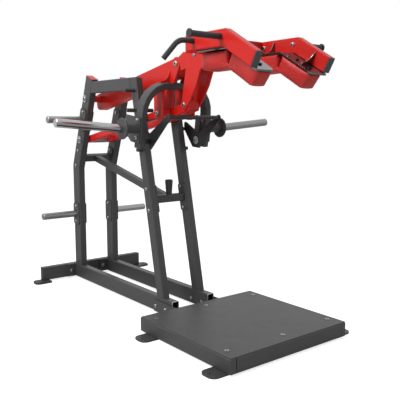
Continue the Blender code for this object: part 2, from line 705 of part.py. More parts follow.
# Cross members between the uprights
def make_cross_members():
    beam_in = FRAME_IN - FIT - PLATE + WELD
    rear_mid = rear_point(REAR_BEAM_UP, REAR_UP_DEPTH / 2)
    rear = slab_bm(lean_rect(rear_mid, -REAR_LEAN, REAR_BEAM_S, REAR_BEAM_S), -beam_in, beam_in)
    tube("rear_crossbeam", rear, ALONG_X, CHARCOAL)
    front_mid = (front_mid_y(FRONT_BEAM_Z), FRONT_BEAM_Z)
    low = (-beam_in, front_mid[0] - BRACE_S / 2, FRONT_BEAM_Z - FRONT_BEAM_H / 2)
    high = (beam_in, front_mid[0] + BRACE_S / 2, FRONT_BEAM_Z + FRONT_BEAM_H / 2)
    tube("front_crossbeam", box_bm(low, high), ALONG_X, CHARCOAL)
    for end, centre, lean, length in (("rear", rear_mid, -REAR_LEAN, REAR_END_PLATE_L),
                                      ("front", front_mid, FRONT_LEAN, FRONT_END_PLATE_L)):
        name = end + "_crossbeam"
        for word, side in SIDES.items():
            x0, x1 = spread(FRAME_IN - FIT - PLATE, FRAME_IN - FIT, side)
            weld(name, slab_bm(lean_rect(centre, lean, length, END_PLATE_W, cut=PLATE), x0, x1))
            drill(name, (side * FRAME_IN, *centre), (side * (FRAME_IN - 2 * PLATE), *centre), VENT_R)
            for way in (-1, 1):
                place = on_lean(centre, lean, way * (length / 2 - END_BOLT_INSET))
                grip = TUBE_W + FIT + PLATE
                seats = (FIT, -WELD)
                cross_bolt(name, end + "_upright_" + word, side * FRAME_HALF, *place, grip, side, seats)
    start = (high[1] + FIT, FRONT_BEAM_Z)
    end = on_lean(rear_mid, -REAR_LEAN, 0.0, REAR_BEAM_S / 2 + FIT)
    beam_out = (math.cos(REAR_LEAN), math.sin(REAR_LEAN))
    length = math.hypot(end[0] - start[0], end[1] - start[1])
    run = ((end[0] - start[0]) / length, (end[1] - start[1]) / length)
    corners = []
    for way in (1, -1):
        edge = ((start[0] - way * run[1] * BRACE_S / 2, start[1] + way * run[0] * BRACE_S / 2), run)
        pair = [cross(edge, ((start[0] - TRIM_OVER, 0), (0, 1))),
                cross(edge, ((end[0] + TRIM_OVER, end[1]), REAR_LINE))]
        corners += pair if way == 1 else pair[::-1]
    ends = [(0, -1, 0), (0, *beam_out)]
    tube("diagonal_brace", slab_bm(corners, -BRACE_S / 2, BRACE_S / 2), ends, CHARCOAL)
    trim("diagonal_brace", start, (-1, 0))
    trim("diagonal_brace", end, beam_out)
    rim = BUMPER_H - (BUMPER_R - BUMPER_NECK)
    profile = [(0, BUMPER_H), (BUMPER_NECK, BUMPER_H), (BUMPER_R, rim), (BUMPER_NECK, BUMPER_FOOT),
               (BUMPER_NECK, 0), (0, 0)]
    bumper = aim(turned_bm(profile, BAR_STEPS), (0, front_mid[0], high[2] + FIT), (0, 0, 1))
    keep("lower_bumper", bumper, RUBBER, smooth=True)


def sleeve_bm(start, end):
    """A 50 mm sleeve tube, open at its root and closed at its tip."""
    length = (Vector(end) - Vector(start)).length
    bore = SLEEVE_R - WALL
    profile = [(0, length), (bore, length), (SLEEVE_R, length - WALL), (SLEEVE_R, 0),
               (bore, 0), (bore, length - WALL), (0, length - WALL)]
    return aim(turned_bm(profile, BAR_STEPS), start, Vector(end) - Vector(start))


# Storage posts for spare plates: each is clamped round its upright by two plates and two bolts
def make_storage():
    along = (HIGH_STORE_Z - KNEE_Z) / math.cos(REAR_LEAN)
    high_centre = rear_point(along + REAR_UP_DEPTH / 2 * math.tan(REAR_LEAN), REAR_UP_DEPTH / 2)
    levels = (("lower", (LOW_STORE_Y, LOW_STORE_Z), 0.0), ("upper", high_centre, -REAR_LEAN))
    for level, centre, lean in levels:
        outline = lean_rect(centre, lean, STORE_PLATE_L, STORE_PLATE_W, cut=STORE_PLATE_CUT)
        for word, side in SIDES.items():
            name = level + "_storage_" + word
            face = FRAME_HALF + FIT + PLATE
            x0, x1 = spread(FRAME_HALF + FIT, face, side)
            keep(name, slab_bm(outline, x0, x1), CHARCOAL)
            x0, x1 = spread(FRAME_IN - FIT - PLATE, FRAME_IN - FIT, side)
            weld(name, slab_bm(outline, x0, x1))
            weld(name, sleeve_bm((side * (face - WELD), *centre), (side * STORE_TIP, *centre)))
            drill(name, (side * FRAME_HALF, *centre), (side * (face + CAP), *centre), VENT_R)
            for way in (-1, 1):
                place = on_lean(centre, lean, way * STORE_BOLT_SPAN / 2)
                grip = TUBE_W + 2 * (PLATE + FIT)
                seats = (-WELD, -WELD)
                cross_bolt(name, "rear_upright_" + word, side * face, *place, grip, side, seats)


# Pivot shafts through the rear uprights
def make_frame_pivots():
    end = FRAME_HALF + FIT
    reach = FRAME_HALF + CAP
    half = [(0, end + WASHER_T + HEAD_H), (PIVOT_HEAD_R, end + WASHER_T + HEAD_H),
            (PIVOT_HEAD_R, end + WASHER_T), (WASHER_R, end + WASHER_T), (WASHER_R, end), (PIVOT_R, end)]
    profile = half + [(radius, -height) for radius, height in half[::-1]]
    for level, at in (("upper", PIVOT_A), ("lower", PIVOT_D)):
        shaft = aim(turned_bm(profile, PIVOT_STEPS), (0, *at), (1, 0, 0))
        keep("frame_pivot_" + level, shaft, ZINC, smooth=True)
        for word in SIDES:
            drill("rear_upright_" + word, (-reach, *at), (reach, *at), PIVOT_R + BOLT_HOLE, PIVOT_STEPS)


def pivot_sleeve_bm(at, half, collar_half, neck):
    """A pivot tube along X with its bore and a wider middle."""
    bore = PIVOT_R + PIVOT_FIT
    profile = [(bore, half), (neck, half), (neck, collar_half), (BUSH_R, collar_half),
               (BUSH_R, -collar_half), (neck, -collar_half), (neck, -half), (bore, -half), (bore, half)]
    return aim(turned_bm(profile, PIVOT_STEPS), (0, *at), (1, 0, 0))


# Upper arm: a deep red box between frame pivot A and carriage pivot B
def make_upper_arm():
    run_length = math.hypot(*ARM_REACH)
    run = (ARM_REACH[0] / run_length, ARM_REACH[1] / run_length)

    def at(along, up):
        return (PIVOT_A[0] + along * run[0] + up * run[1], PIVOT_A[1] + along * run[1] - up * run[0])

    over = UPPER_ARM_OVER
    under = UPPER_ARM_OVER - UPPER_ARM_H
    nose = [at(run_length + u, v) for u, v in arc((0, 0), over, 90, -30, 5)]
    tail = UPPER_ARM_TAIL
    cut = UPPER_ARM_CUT
    outline = [at(-tail, over - cut), at(-tail + cut, over)] + nose
    outline += [at(run_length - UPPER_ARM_NOSE_BACK, under), at(-tail + cut, under), at(-tail, under + cut)]
    tube("upper_arm", slab_bm(outline, -UPPER_ARM_HALF, UPPER_ARM_HALF), [], RED)
    bush = LUG_IN - CLEAR
    weld("upper_arm", rod_bm((-bush, *PIVOT_B), (bush, *PIVOT_B), FRONT_BUSH_R, PIVOT_STEPS))
    reach = UPPER_ARM_HALF + 2 * CAP
    drill("upper_arm", (-reach, *PIVOT_A), (reach, *PIVOT_A), BUSH_R + PIVOT_FIT, PIVOT_STEPS)
    drill("upper_arm", (-reach, *PIVOT_B), (reach, *PIVOT_B), PIVOT_R + PIVOT_FIT, PIVOT_STEPS)
    half = FRAME_IN - CLEAR
    sleeve = pivot_sleeve_bm(PIVOT_A, half, half - PLATE, BUSH_R - WALL)
    keep("upper_arm_sleeve", sleeve, STEEL, smooth=True)


# Lower arm: twin red tubes between frame pivot D and carriage pivot C
def make_lower_arm():
    run_length = math.hypot(*ARM_REACH)
    angle = math.atan2(ARM_REACH[1], -ARM_REACH[0])
    half = LOWER_TUBE_H / 2
    nose_u = run_length + LOWER_ARM_NOSE - LOWER_NOSE_R
    nose_v = half - LOWER_NOSE_R
    local = arc((0, 0), half, 270, 90) + arc((nose_u, nose_v), LOWER_NOSE_R, 90, 0, 2)
    local += arc((nose_u, -nose_v), LOWER_NOSE_R, 0, -90, 2)
    outline = [(PIVOT_D[0] - u * math.cos(angle) + v * math.sin(angle),
                PIVOT_D[1] + u * math.sin(angle) + v * math.cos(angle)) for u, v in local]
    end = LOWER_TUBE_IN + LOWER_TUBE_W
    tubes = slab_bm(outline, LOWER_TUBE_IN, end)
    add(tubes, slab_bm(outline, -end, -LOWER_TUBE_IN))
    tube("lower_arm", tubes, [], RED, rounding=LOWER_TUBE_ROUND)
    tie_at = (PIVOT_D[0] + ARM_REACH[0] * LOWER_TIE_SHARE, PIVOT_D[1] + ARM_REACH[1] * LOWER_TIE_SHARE)
    tie_x = LOWER_TUBE_IN + WELD
    weld("lower_arm", rod_bm((-tie_x, *tie_at), (tie_x, *tie_at), LOWER_TIE_R))
    reach = end + CAP
    drill("lower_arm", (-reach, *PIVOT_D), (reach, *PIVOT_D), LOWER_SLEEVE_R + PIVOT_FIT, PIVOT_STEPS)
    drill("lower_arm", (-reach, *PIVOT_C), (reach, *PIVOT_C), PIVOT_R + LINK_PLAY, PIVOT_STEPS)
    sleeve = pivot_sleeve_bm(PIVOT_D, FRAME_IN - CLEAR, LOWER_TUBE_IN - FIT, LOWER_SLEEVE_R)
    keep("lower_arm_sleeve", sleeve, STEEL, smooth=True)


# Carriage: the yoke, its link plates and lugs
def make_yoke():
    leg_in = YOKE_HALF - YOKE_W
    inner_r = YOKE_RADIUS - YOKE_W
    top = YOKE_UP
    outer_x = YOKE_HALF - YOKE_RADIUS
    centre = top - YOKE_RADIUS
    outline = [(YOKE_HALF, YOKE_DOWN)] + arc((outer_x, centre), YOKE_RADIUS, 0, 90)
    outline += arc((-outer_x, centre), YOKE_RADIUS, 90, 180) + [(-YOKE_HALF, YOKE_DOWN)]
    outline += [(-leg_in, YOKE_DOWN)] + arc((-outer_x, centre), inner_r, 180, 90)
    outline += arc((outer_x, centre), inner_r, 90, 0) + [(leg_in, YOKE_DOWN)]
    bm = slab_bm(outline, 0.0, YOKE_D, CROSS_PLANE)
    lean = Matrix.Translation((0, YOKE_FRONT_Y, YOKE_FRONT_Z)) @ Matrix.Rotation(YOKE_LEAN, 4, "X")
    bmesh.ops.transform(bm, matrix=lean, verts=bm.verts)
    tube("yoke", bm, [], CHARCOAL)


def arch_drop(x, radius):
    """How far the faceted arch lies under its crown at a distance from the middle plane."""
    points = arc((YOKE_HALF - YOKE_RADIUS, -radius), radius, 90, 0)
    for (x0, z0), (x1, z1) in zip(points, points[1:]):
        if x0 < x <= x1:
            return -(z0 + (z1 - z0) * (x - x0) / (x1 - x0))
    return 0.0


def link_outline(drop):
    """A plate under the yoke's crossbar, rounded below the lower pivot."""
    crown = YOKE_UP - YOKE_W - drop - FIT / math.cos(YOKE_LEAN)
    under = (yoke_point(crown, 0.0), (math.cos(YOKE_LEAN), math.sin(YOKE_LEAN)))
    front_y = LINK_PLATE_MID_Y - LINK_PLATE_W / 2
    back_y = front_y + LINK_PLATE_W
    foot_z = PIVOT_C[1] - LINK_PLATE_FOOT
    radius = LINK_PLATE_ROUND
    outline = [cross(under, ((front_y, 0), (0, 1)))]
    outline += arc((front_y + radius, foot_z + radius), radius, 180, 270, 4)
    outline += arc((back_y - radius, foot_z + radius), radius, 270, 360, 4)
    outline += [cross(under, ((back_y, 0), (0, 1)))]
    return outline


def gusset_bm(side):
    """A concave bracket on the arch beside a lug, following the arch where it starts to fall."""
    base_y, base_z = yoke_point(YOKE_UP + FIT, YOKE_D / 2 + PLATE)
    root = LUG_IN + LUG_T - WELD
    tip = root + GUSSET_W
    low = base_z + PLATE / 2 * math.sin(YOKE_LEAN)
    bend = max(root + CLEAR, YOKE_HALF - YOKE_RADIUS)
    outline = [(root, low), (bend, low), (tip, low - arch_drop(tip, YOKE_RADIUS))]
    outline += arc((tip, low + GUSSET_H), GUSSET_W - GUSSET_TIP, 265, 187) + [(root, low + GUSSET_H)]
    return slab_bm([(side * x, z) for x, z in outline], base_y - PLATE / 2, base_y + PLATE / 2, CROSS_PLANE)


def make_link_plates():
    outer_in = SIDE_PLATE_IN
    outer_out = SIDE_PLATE_IN + SIDE_PLATE_T
    lug_out = LUG_IN + LUG_T
    outer_flat = link_outline(arch_drop(outer_out, YOKE_RADIUS - YOKE_W))
    inner_flat = link_outline(0.0)
    lug = [yoke_point(YOKE_UP + FIT, CLEAR), yoke_point(YOKE_UP + FIT, YOKE_D - CLEAR)]
    lug += arc(PIVOT_B, LUG_R, -15, 195, 9)
    back_y = LINK_PLATE_MID_Y + LINK_PLATE_W / 2 - CLEAR
    fall = (back_y - STUB_FRONT[0]) * math.tan(STUB_DROP)
    half = STUB_H / 2 / math.cos(STUB_DROP)
    stub = [(y, z + way * half) for y, z, way in
            ((STUB_FRONT[0], STUB_FRONT[1], -1), (STUB_FRONT[0], STUB_FRONT[1], 1),
             (back_y, STUB_FRONT[1] - fall, 1), (back_y, STUB_FRONT[1] - fall, -1))]
    tube("carriage_bracket", slab_bm(stub, -LUG_IN + FIT, LUG_IN - FIT), [], RED)
    for word, side in SIDES.items():
        x0, x1 = spread(outer_in, outer_out, side)
        keep("link_plate_" + word, slab_bm(outer_flat, x0, x1), RED)
        x0, x1 = spread(LUG_IN - FIT - WELD, lug_out, side)
        weld("carriage_bracket", slab_bm(inner_flat, x0, x1))
        x0, x1 = spread(LUG_IN, lug_out, side)
        keep("yoke_lug_" + word, slab_bm(lug, x0, x1), RED)
        weld("yoke_lug_" + word, gusset_bm(side))
    pivots = (("upper", PIVOT_B, lug_out, ["yoke_lug_left", "yoke_lug_right"]),
              ("lower", PIVOT_C, outer_out, ["link_plate_left", "link_plate_right", "carriage_bracket"]))
    for level, at, half, through in pivots:
        seats = (FIT, FIT)
        shaft = bolt_bm((-half, *at), (-1, 0, 0), 2 * half, seats, PIVOT_R, PIVOT_HEAD_R, steps=PIVOT_STEPS)
        keep("carriage_pivot_" + level, shaft, ZINC, smooth=True)
        for name in through:
            drill(name, (-half - CAP, *at), (half + CAP, *at), PIVOT_R + BOLT_HOLE, PIVOT_STEPS)


# Loading horns on the yoke's legs
def make_horns():
    height = (HORN_Z - YOKE_FRONT_Z) / math.cos(YOKE_LEAN)
    depth = YOKE_D / 2
    low = height - HORN_BASE_H / 2 + HORN_BASE_SHIFT
    high = low + HORN_BASE_H
    outline = [yoke_point(low, HORN_BASE_FRONT), yoke_point(low, HORN_BASE_FOOT),
               yoke_point(low + HORN_BASE_STEP, HORN_BASE_L), yoke_point(high, HORN_BASE_L),
               yoke_point(high, HORN_BASE_FRONT)]
    y, z = yoke_point(height, depth)
    face = YOKE_HALF + FIT + HORN_BASE_T
    disc = HUB_OUT - face
    tilt = math.tan(HORN_RISE)
    profile = [(0, disc), (DISC_R - DISC_EDGE, disc), (DISC_R, disc - DISC_EDGE), (DISC_R, disc - DISC_T),
               (HUB_R, disc - DISC_T), (HUB_R, -WELD), (0, -WELD)]
    for word, side in SIDES.items():
        name = "horn_hub_" + word
        x0, x1 = spread(YOKE_HALF + FIT, face, side)
        keep(name, slab_bm(outline, x0, x1), CHARCOAL, smooth=True)
        weld(name, aim(turned_bm(profile, BAR_STEPS), (side * face, y, z), (side, 0, 0)))
        start = (side * (HUB_OUT + FIT), y, z)
        end = (side * HORN_TIP, y, z + (HORN_TIP - HUB_OUT) * tilt)
        keep("loading_sleeve_" + word, horn_bm(start, end, side), CHROME if side < 0 else STEEL, smooth=True)
        for along in (low + HORN_LOW_BOLT_INSET, high - HORN_BOLT_INSET):
            grip = YOKE_W + FIT + HORN_BASE_T
            cross_bolt(name, "yoke", side * face, *yoke_point(along, depth), grip, side, (-WELD, FIT))


def horn_bm(start, end, side):
    """A loading sleeve whose root is cut square to the machine against the hub's disc."""
    bm = sleeve_bm(start, end)
    for vert in bm.verts:
        if side * vert.co.x < side * (start[0] + side * SLEEVE_R):
            vert.co.x = start[0]
    return bm


# Pad frame: twin legs with a strap, the carrier and the shoulder arms
def make_pad_frame():
    arm_low = ARM_TOP_Z - ARM_H
    carrier_back = CARRIER_FRONT_Y + CARRIER_D
    leg_front = carrier_back + FIT
    leg = arc(STUB_BOLT, LEG_FOOT_R, 350, 235) + [LEG_FRONT_LOW, LEG_FRONT_MID, LEG_FRONT_TOP]
    leg += [(leg_front, arm_low), (leg_front, LEG_TOP_FRONT), LEG_TOP_BACK]
    leg += arc(PIVOT_B, LUG_R + FIT, 122, 182, 4) + [LEG_REAR_HEEL, LEG_REAR_TOP, LEG_REAR_MID]
    legs = slab_bm(leg, LUG_IN, LUG_IN + LEG_T)
    add(legs, slab_bm(leg, -LUG_IN - LEG_T, -LUG_IN))
    keep("pad_frame", legs, RED)
    half = LUG_IN + LEG_T
    stub_bolt = bolt_bm((-half, *STUB_BOLT), (-1, 0, 0), 2 * half, (-WELD, -WELD), STUB_BOLT_R, STUB_HEAD_R)
    weld("pad_frame", stub_bolt)
    reach = LUG_IN + CAP
    drill("carriage_bracket", (-reach, *STUB_BOLT), (reach, *STUB_BOLT), STUB_BOLT_R + BOLT_HOLE)
    slope = (LEG_TOP_FRONT - LEG_TOP_BACK[1]) / (leg_front - LEG_TOP_BACK[0])
    strap = []
    strap_back = LEG_TOP_BACK[0] - CLEAR
    for y, down in ((strap_back, CLEAR), (leg_front, CLEAR), (leg_front, PLATE), (strap_back, PLATE)):
        strap.append((y, LEG_TOP_BACK[1] + (y - LEG_TOP_BACK[0]) * slope - down))
    weld("pad_frame", slab_bm(strap, -LUG_IN - WELD, LUG_IN + WELD))
    for side in SIDES.values():
        weld("pad_frame", bolt_bm((side * half, *STRAP_BOLT), (side, 0, 0), LEG_T / 2, (-WELD, 0), nut=False))
    inner = ARM_IN - FIT
    tube("pad_carrier", box_bm((-inner, CARRIER_FRONT_Y, arm_low), (inner, carrier_back, ARM_TOP_Z)), [], RED)
    vent = (0, carrier_back - 2 * BOLT_R - WALL)
    drill("pad_carrier", (*vent, arm_low - CAP), (*vent, arm_low + 2 * WALL), VENT_R)


def bent_path(offset):
    """The underside line of the shoulder arm, moved down by an offset: its apex and the nose's direction."""
    apex = (ARM_APEX_Y + (ARM_H + offset) * math.tan(ARM_DROP / 2), ARM_TOP_Z - ARM_H - offset)
    return apex, (-math.cos(ARM_DROP), -math.sin(ARM_DROP))


def below(point, run, depth):
    """A point square under a line that runs forwards."""
    return (point[0] - run[1] * depth, point[1] + run[0] * depth)


def make_shoulder_arms():
    top_apex = (ARM_APEX_Y, ARM_TOP_Z)
    low_apex, run = bent_path(0.0)
    nose_top = (top_apex[0] + run[0] * ARM_NOSE_L, top_apex[1] + run[1] * ARM_NOSE_L)
    outline = [(ARM_REAR_Y, ARM_TOP_Z - ARM_H), (ARM_REAR_Y, ARM_TOP_Z), top_apex, nose_top,
               below(nose_top, run, ARM_H), low_apex]
    for word, side in SIDES.items():
        x0, x1 = spread(ARM_IN, ARM_IN + ARM_W, side)
        tube("shoulder_arm_" + word, slab_bm(outline, x0, x1), [], RED)


# Shoulder pads on their boards
def make_pads():
    board_rear = PAD_REAR_Y + CLEAR
    top_apex, run = bent_path(FIT)
    low_apex, _ = bent_path(FIT + BOARD_T)
    reach = ARM_NOSE_L - BOARD_SHORT
    front_top = (top_apex[0] + run[0] * reach, top_apex[1] + run[1] * reach)
    outline = [(board_rear, top_apex[1]), top_apex, front_top, below(front_top, run, BOARD_T), low_apex,
               (board_rear, low_apex[1])]
    for word, side in SIDES.items():
        name = "pad_board_" + word
        x0, x1 = spread(BOARD_IN, ARM_IN + BOARD_UNDER_ARM, side)
        keep(name, slab_bm(outline, x0, x1), BLACK)
        cut(name, board_corner_bm(side, reach - BOARD_CORNER))
        for place in (BOARD_GUSSET_REAR, BOARD_GUSSET_FRONT):
            weld(name, board_gusset_bm(side, place))
        for place in BOARD_SCREWS:
            (y, z), slope = board_frame(place)
            normal = (0, -math.sin(slope), math.cos(slope))
            x = side * (PAD_IN + PAD_OUT) / 2
            weld(name, bolt_bm((x, y, z), normal, BOARD_T / 2, (-WELD, 0), nut=False))
        keep("shoulder_pad_" + word, pad_bm(side), VINYL, smooth=True)
        cut("shoulder_pad_" + word, pad_gap_bm(side))


def board_frame(place):
    """Position and slope on top of the board, from the apex: back is level, front is inclined."""
    apex, run = bent_path(FIT)
    if place < 0:
        return (apex[0] - place, apex[1]), 0.0
    return (apex[0] + run[0] * place, apex[1] + run[1] * place), ARM_DROP


def board_corner_bm(side, place):
    """What goes from the board's free front corner."""
    (y, z), slope = board_frame(place)
    radius = BOARD_CORNER
    outline = [(-CAP, 0)] + arc((radius, 0), radius, 180, 90) + [(radius, radius + CAP), (-CAP, radius + CAP)]
    bm = flat_curve([(side * u, -v) for u, v in outline], BOARD_T + 2 * CAP)
    place_it = Matrix.Translation((side * BOARD_IN, y, z)) @ Matrix.Rotation(slope, 4, "X")
    bmesh.ops.transform(bm, matrix=place_it @ Matrix.Translation((0, 0, -BOARD_T / 2)), verts=bm.verts)
    return bm


def board_gusset_bm(side, place):
    """A concave bracket between the arm's inner face and the board."""
    (y, z), slope = board_frame(place)
    root = ARM_IN - FIT
    curve = arc((-GUSSET_BOARD_W, GUSSET_BOARD_H), GUSSET_BOARD_R, 275, 345, 4)
    outline = [(0, 0), (0, GUSSET_BOARD_H), (-GUSSET_TIP, GUSSET_BOARD_H)] + curve[::-1] + [(-GUSSET_BOARD_W, 0)]
    bm = slab_bm([(side * u, v) for u, v in outline], -GUSSET_BOARD_T / 2, GUSSET_BOARD_T / 2, CROSS_PLANE)
    place_it = Matrix.Translation((side * root, y, z)) @ Matrix.Rotation(slope, 4, "X")
    bmesh.ops.transform(bm, matrix=place_it @ Matrix.Translation((0, 0, -WELD)), verts=bm.verts)
    return bm


def pad_bm(side):
    """An upholstered block in two runs with a crease at the bend: a loft of rounded sections."""
    gap = FIT + BOARD_T + FIT
    top_apex, run = bent_path(gap)
    low_apex, _ = bent_path(gap + PAD_T)
    mid_x = side * (PAD_IN + PAD_OUT) / 2
    half_w = (PAD_OUT - PAD_IN) / 2
    bm = bmesh.new()
    rings = []
    for share in PAD_LEVEL_STEPS:
        top = (PAD_REAR_Y + (top_apex[0] - PAD_REAR_Y) * share, top_apex[1])
        low = (PAD_REAR_Y + (low_apex[0] - PAD_REAR_Y) * share, low_apex[1])
        rings.append(pad_ring(bm, top, low, mid_x, half_w, pad_draw(share)))
    for share in PAD_SLOPE_STEPS:
        along = PAD_NOSE_L * share
        low_along = (PAD_NOSE_L - PAD_NOSE_CUT) * share
        top = (top_apex[0] + run[0] * along, top_apex[1] + run[1] * along)
        low = (low_apex[0] + run[0] * low_along, low_apex[1] + run[1] * low_along)
        rings.append(pad_ring(bm, top, low, mid_x, half_w, pad_draw(1.0 - share)))
    for first, second in zip(rings, rings[1:]):
        count = len(first)
        for i in range(count):
            j = (i + 1) % count
            bm.faces.new((first[i], first[j], second[j], second[i]))
    bm.faces.new(rings[0])
    bm.faces.new(rings[-1])
    bmesh.ops.recalc_face_normals(bm, faces=bm.faces)
    return bm


def pad_gap_bm(side):
    """The wedge between the pad's two square-ended blocks, open towards the board."""
    top, _ = bent_path(0.0)
    low, _ = bent_path(FIT + BOARD_T + FIT + PAD_T - PAD_GAP_LEFT)
    half = PAD_GAP_TOP / 2
    lift = (half * math.cos(ARM_DROP / 2), half * math.sin(ARM_DROP / 2))
    outline = [low, (top[0] - lift[0], top[1] - lift[1]), (top[0] + lift[0], top[1] + lift[1])]
    x0, x1 = spread(PAD_IN - 2 * CAP, PAD_OUT + 2 * CAP, side)
    return slab_bm(outline, x0, x1)


def pad_draw(share):
    """How far the cover is drawn in: at the free end (0) and at the crease (1)."""
    free_end = max(0.0, 1 - share / PAD_END_SHARE)
    crease = max(0.0, 1 - (1 - share) / PAD_CREASE_SHARE)
    return PAD_END_DRAW * free_end + PAD_CREASE_DRAW * crease


def pad_ring(bm, top, low, mid_x, half_w, draw):
    """One section: flat against the board, rounded and a little crowned below."""
    deep = Vector((0, low[0] - top[0], low[1] - top[1]))
    thick = deep.length
    deep.normalize()
    width = half_w - draw
    corner = PAD_ROUND
    points = [(-width, draw / 2), (width, draw / 2), (width + PAD_CROWN, thick * 0.5)]
    points += arc((width - corner, thick - corner - draw), corner, 0, 90, 4)
    points += [(0, thick - draw + PAD_CROWN)]
    points += arc((-width + corner, thick - corner - draw), corner, 90, 180, 4)
    points += [(-width - PAD_CROWN, thick * 0.5)]
    origin = Vector((mid_x, top[0], top[1]))
    return [bm.verts.new(origin + Vector((u, 0, 0)) + deep * v) for u, v in points]


# Hand grips, each held by a bolt through its shoulder arm
def make_grips():
    face = ARM_IN + ARM_W
    profile = [(0, GRIP_L), (GRIP_FLANGE_R, GRIP_L), (GRIP_FLANGE_R, GRIP_L - GRIP_FLANGE_T),
               (GRIP_R, GRIP_L - GRIP_FLANGE_T), (GRIP_R, FIT), (0, FIT)]
    for word, side in SIDES.items():
        straight = aim(turned_bm(profile, PIVOT_STEPS), (side * face, GRIP_FRONT_Y, GRIP_Z), (side, 0, 0))
        keep("straight_grip_" + word, straight, RUBBER, smooth=True)
        keep("bent_grip_" + word, bent_grip_bm(side, face + FIT), RUBBER, smooth=True)
        for name, y in (("straight_grip_" + word, GRIP_FRONT_Y), ("bent_grip_" + word, GRIP_REAR_Y)):
            weld(name, bolt_bm((side * ARM_IN, y, GRIP_Z), (-side, 0, 0), ARM_W + CAP, (FIT, 0), nut=False))
            start = (side * (ARM_IN - CAP), y, GRIP_Z)
            drill("shoulder_arm_" + word, start, (side * (face + CAP), y, GRIP_Z), BOLT_R + BOLT_HOLE)


def bent_grip_bm(side, root):
    """A round bar that leaves the arm square, bends once and points down and outwards."""
    start = Vector((side * root, GRIP_REAR_Y, GRIP_Z))
    end = Vector((side * GRIP_END[0], GRIP_END[1], GRIP_END[2]))
    corner = Vector((side * GRIP_CORNER_X, GRIP_REAR_Y, GRIP_Z))
    before = corner + (start - corner).normalized() * GRIP_BEND
    after = corner + (end - corner).normalized() * GRIP_BEND
    path = [start]
    for i in range(ARC_STEPS + 1):
        share = i / ARC_STEPS
        path.append(before * (1 - share) ** 2 + corner * 2 * share * (1 - share) + after * share ** 2)
    path.append(end)
    curve = bpy.data.curves.new("grip", "CURVE")
    curve.dimensions = "3D"
    curve.bevel_depth = BENT_GRIP_R
    curve.bevel_resolution = 2
    curve.use_fill_caps = True
    line = curve.splines.new("POLY")
    line.points.add(len(path) - 1)
    for point, place in zip(line.points, path):
        point.co = (*place, 1.0)
    guide = bpy.data.objects.new("grip", curve)
    cutters.objects.link(guide)
    bpy.context.view_layer.update()
    graph = bpy.context.evaluated_depsgraph_get()
    mesh = bpy.data.meshes.new_from_object(guide.evaluated_get(graph))
    bm = bmesh.new()
    bm.from_mesh(mesh)
    bmesh.ops.remove_doubles(bm, verts=bm.verts, dist=0.00001)
    bmesh.ops.recalc_face_normals(bm, faces=bm.faces)
    bpy.data.objects.remove(guide, do_unlink=True)
    bpy.data.curves.remove(curve)
    bpy.data.meshes.remove(mesh)
    return bm


# Catch lever: a bar on two bent plates, each on a pin inside a leg of the yoke
def make_lever():
    peg = (front_mid_y(PEG_CATCH_Z), PEG_CATCH_Z)
    plate = arc(LEVER_BAR, LEVER_TIP_R, LEVER_TIP_START, LEVER_TIP_END) + [LEVER_CROTCH, *LEVER_HOOK_TOP]
    plate += arc(peg, LEVER_SEAT_R, LEVER_SEAT_START, LEVER_SEAT_END) + [LEVER_HOOK_FOOT, *LEVER_HEEL]
    link_in = LEVER_HALF - LEVER_T
    leg_in = YOKE_HALF - YOKE_W
    collar = leg_in - LEVER_HALF - FIT
    face = collar + FIT + LEVER_T + FIT
    pin = [(0, face + WASHER_T + HEAD_H), (HEAD_R, face + WASHER_T + HEAD_H), (HEAD_R, face + WASHER_T),
           (LEVER_WASHER_R, face + WASHER_T), (LEVER_WASHER_R, face), (LEVER_PIN_R, face),
           (LEVER_PIN_R, collar), (LEVER_COLLAR_R, collar), (LEVER_COLLAR_R, -WELD), (0, -WELD)]
    end = link_in + WELD
    bar = rod_bm((-end, *LEVER_BAR), (end, *LEVER_BAR), LEVER_BAR_R)
    keep("catch_lever", bar, CHARCOAL, smooth=True)
    for side in SIDES.values():
        x0, x1 = spread(link_in, LEVER_HALF, side)
        weld("catch_lever", slab_bm(plate, x0, x1))
        start = (side * (link_in - CAP), *LEVER_PIVOT)
        drill("catch_lever", start, (side * (LEVER_HALF + CAP), *LEVER_PIVOT), LEVER_PIN_R + PIVOT_FIT, PIVOT_STEPS)
        weld("yoke", aim(turned_bm(pin, PIVOT_STEPS), (side * leg_in, *LEVER_PIVOT), (-side, 0, 0)))


def finish_parts():
    """Join what is welded to each part, then cut its holes."""
    for operation, ending, wanted in (("UNION", "_welds", welds), ("DIFFERENCE", "_holes", cuts)):
        for name, bm in wanted.items():
            mesh = bpy.data.meshes.new(name + ending)
            bm.to_mesh(mesh)
            bm.free()
            tool = bpy.data.objects.new(name + ending, mesh)
            cutters.objects.link(tool)
            tool.hide_render = True
            tool.display_type = "WIRE"
            step = parts.objects[name].modifiers.new(ending[1:], "BOOLEAN")
            step.operation = operation
            step.use_self = operation == "UNION"
            step.object = tool


def hang_bodies():
    """Hang each moving body from an empty on its joint's axis."""
    for body, ((y, z), names) in BODIES.items():
        axis = bpy.data.objects.new(body + "_axis", None)
        axis.location = (0, y, z)
        parts.objects.link(axis)
        for name in names:
            part = parts.objects[name]
            part.parent = axis
            part.matrix_parent_inverse = Matrix.Translation((0, -y, -z))


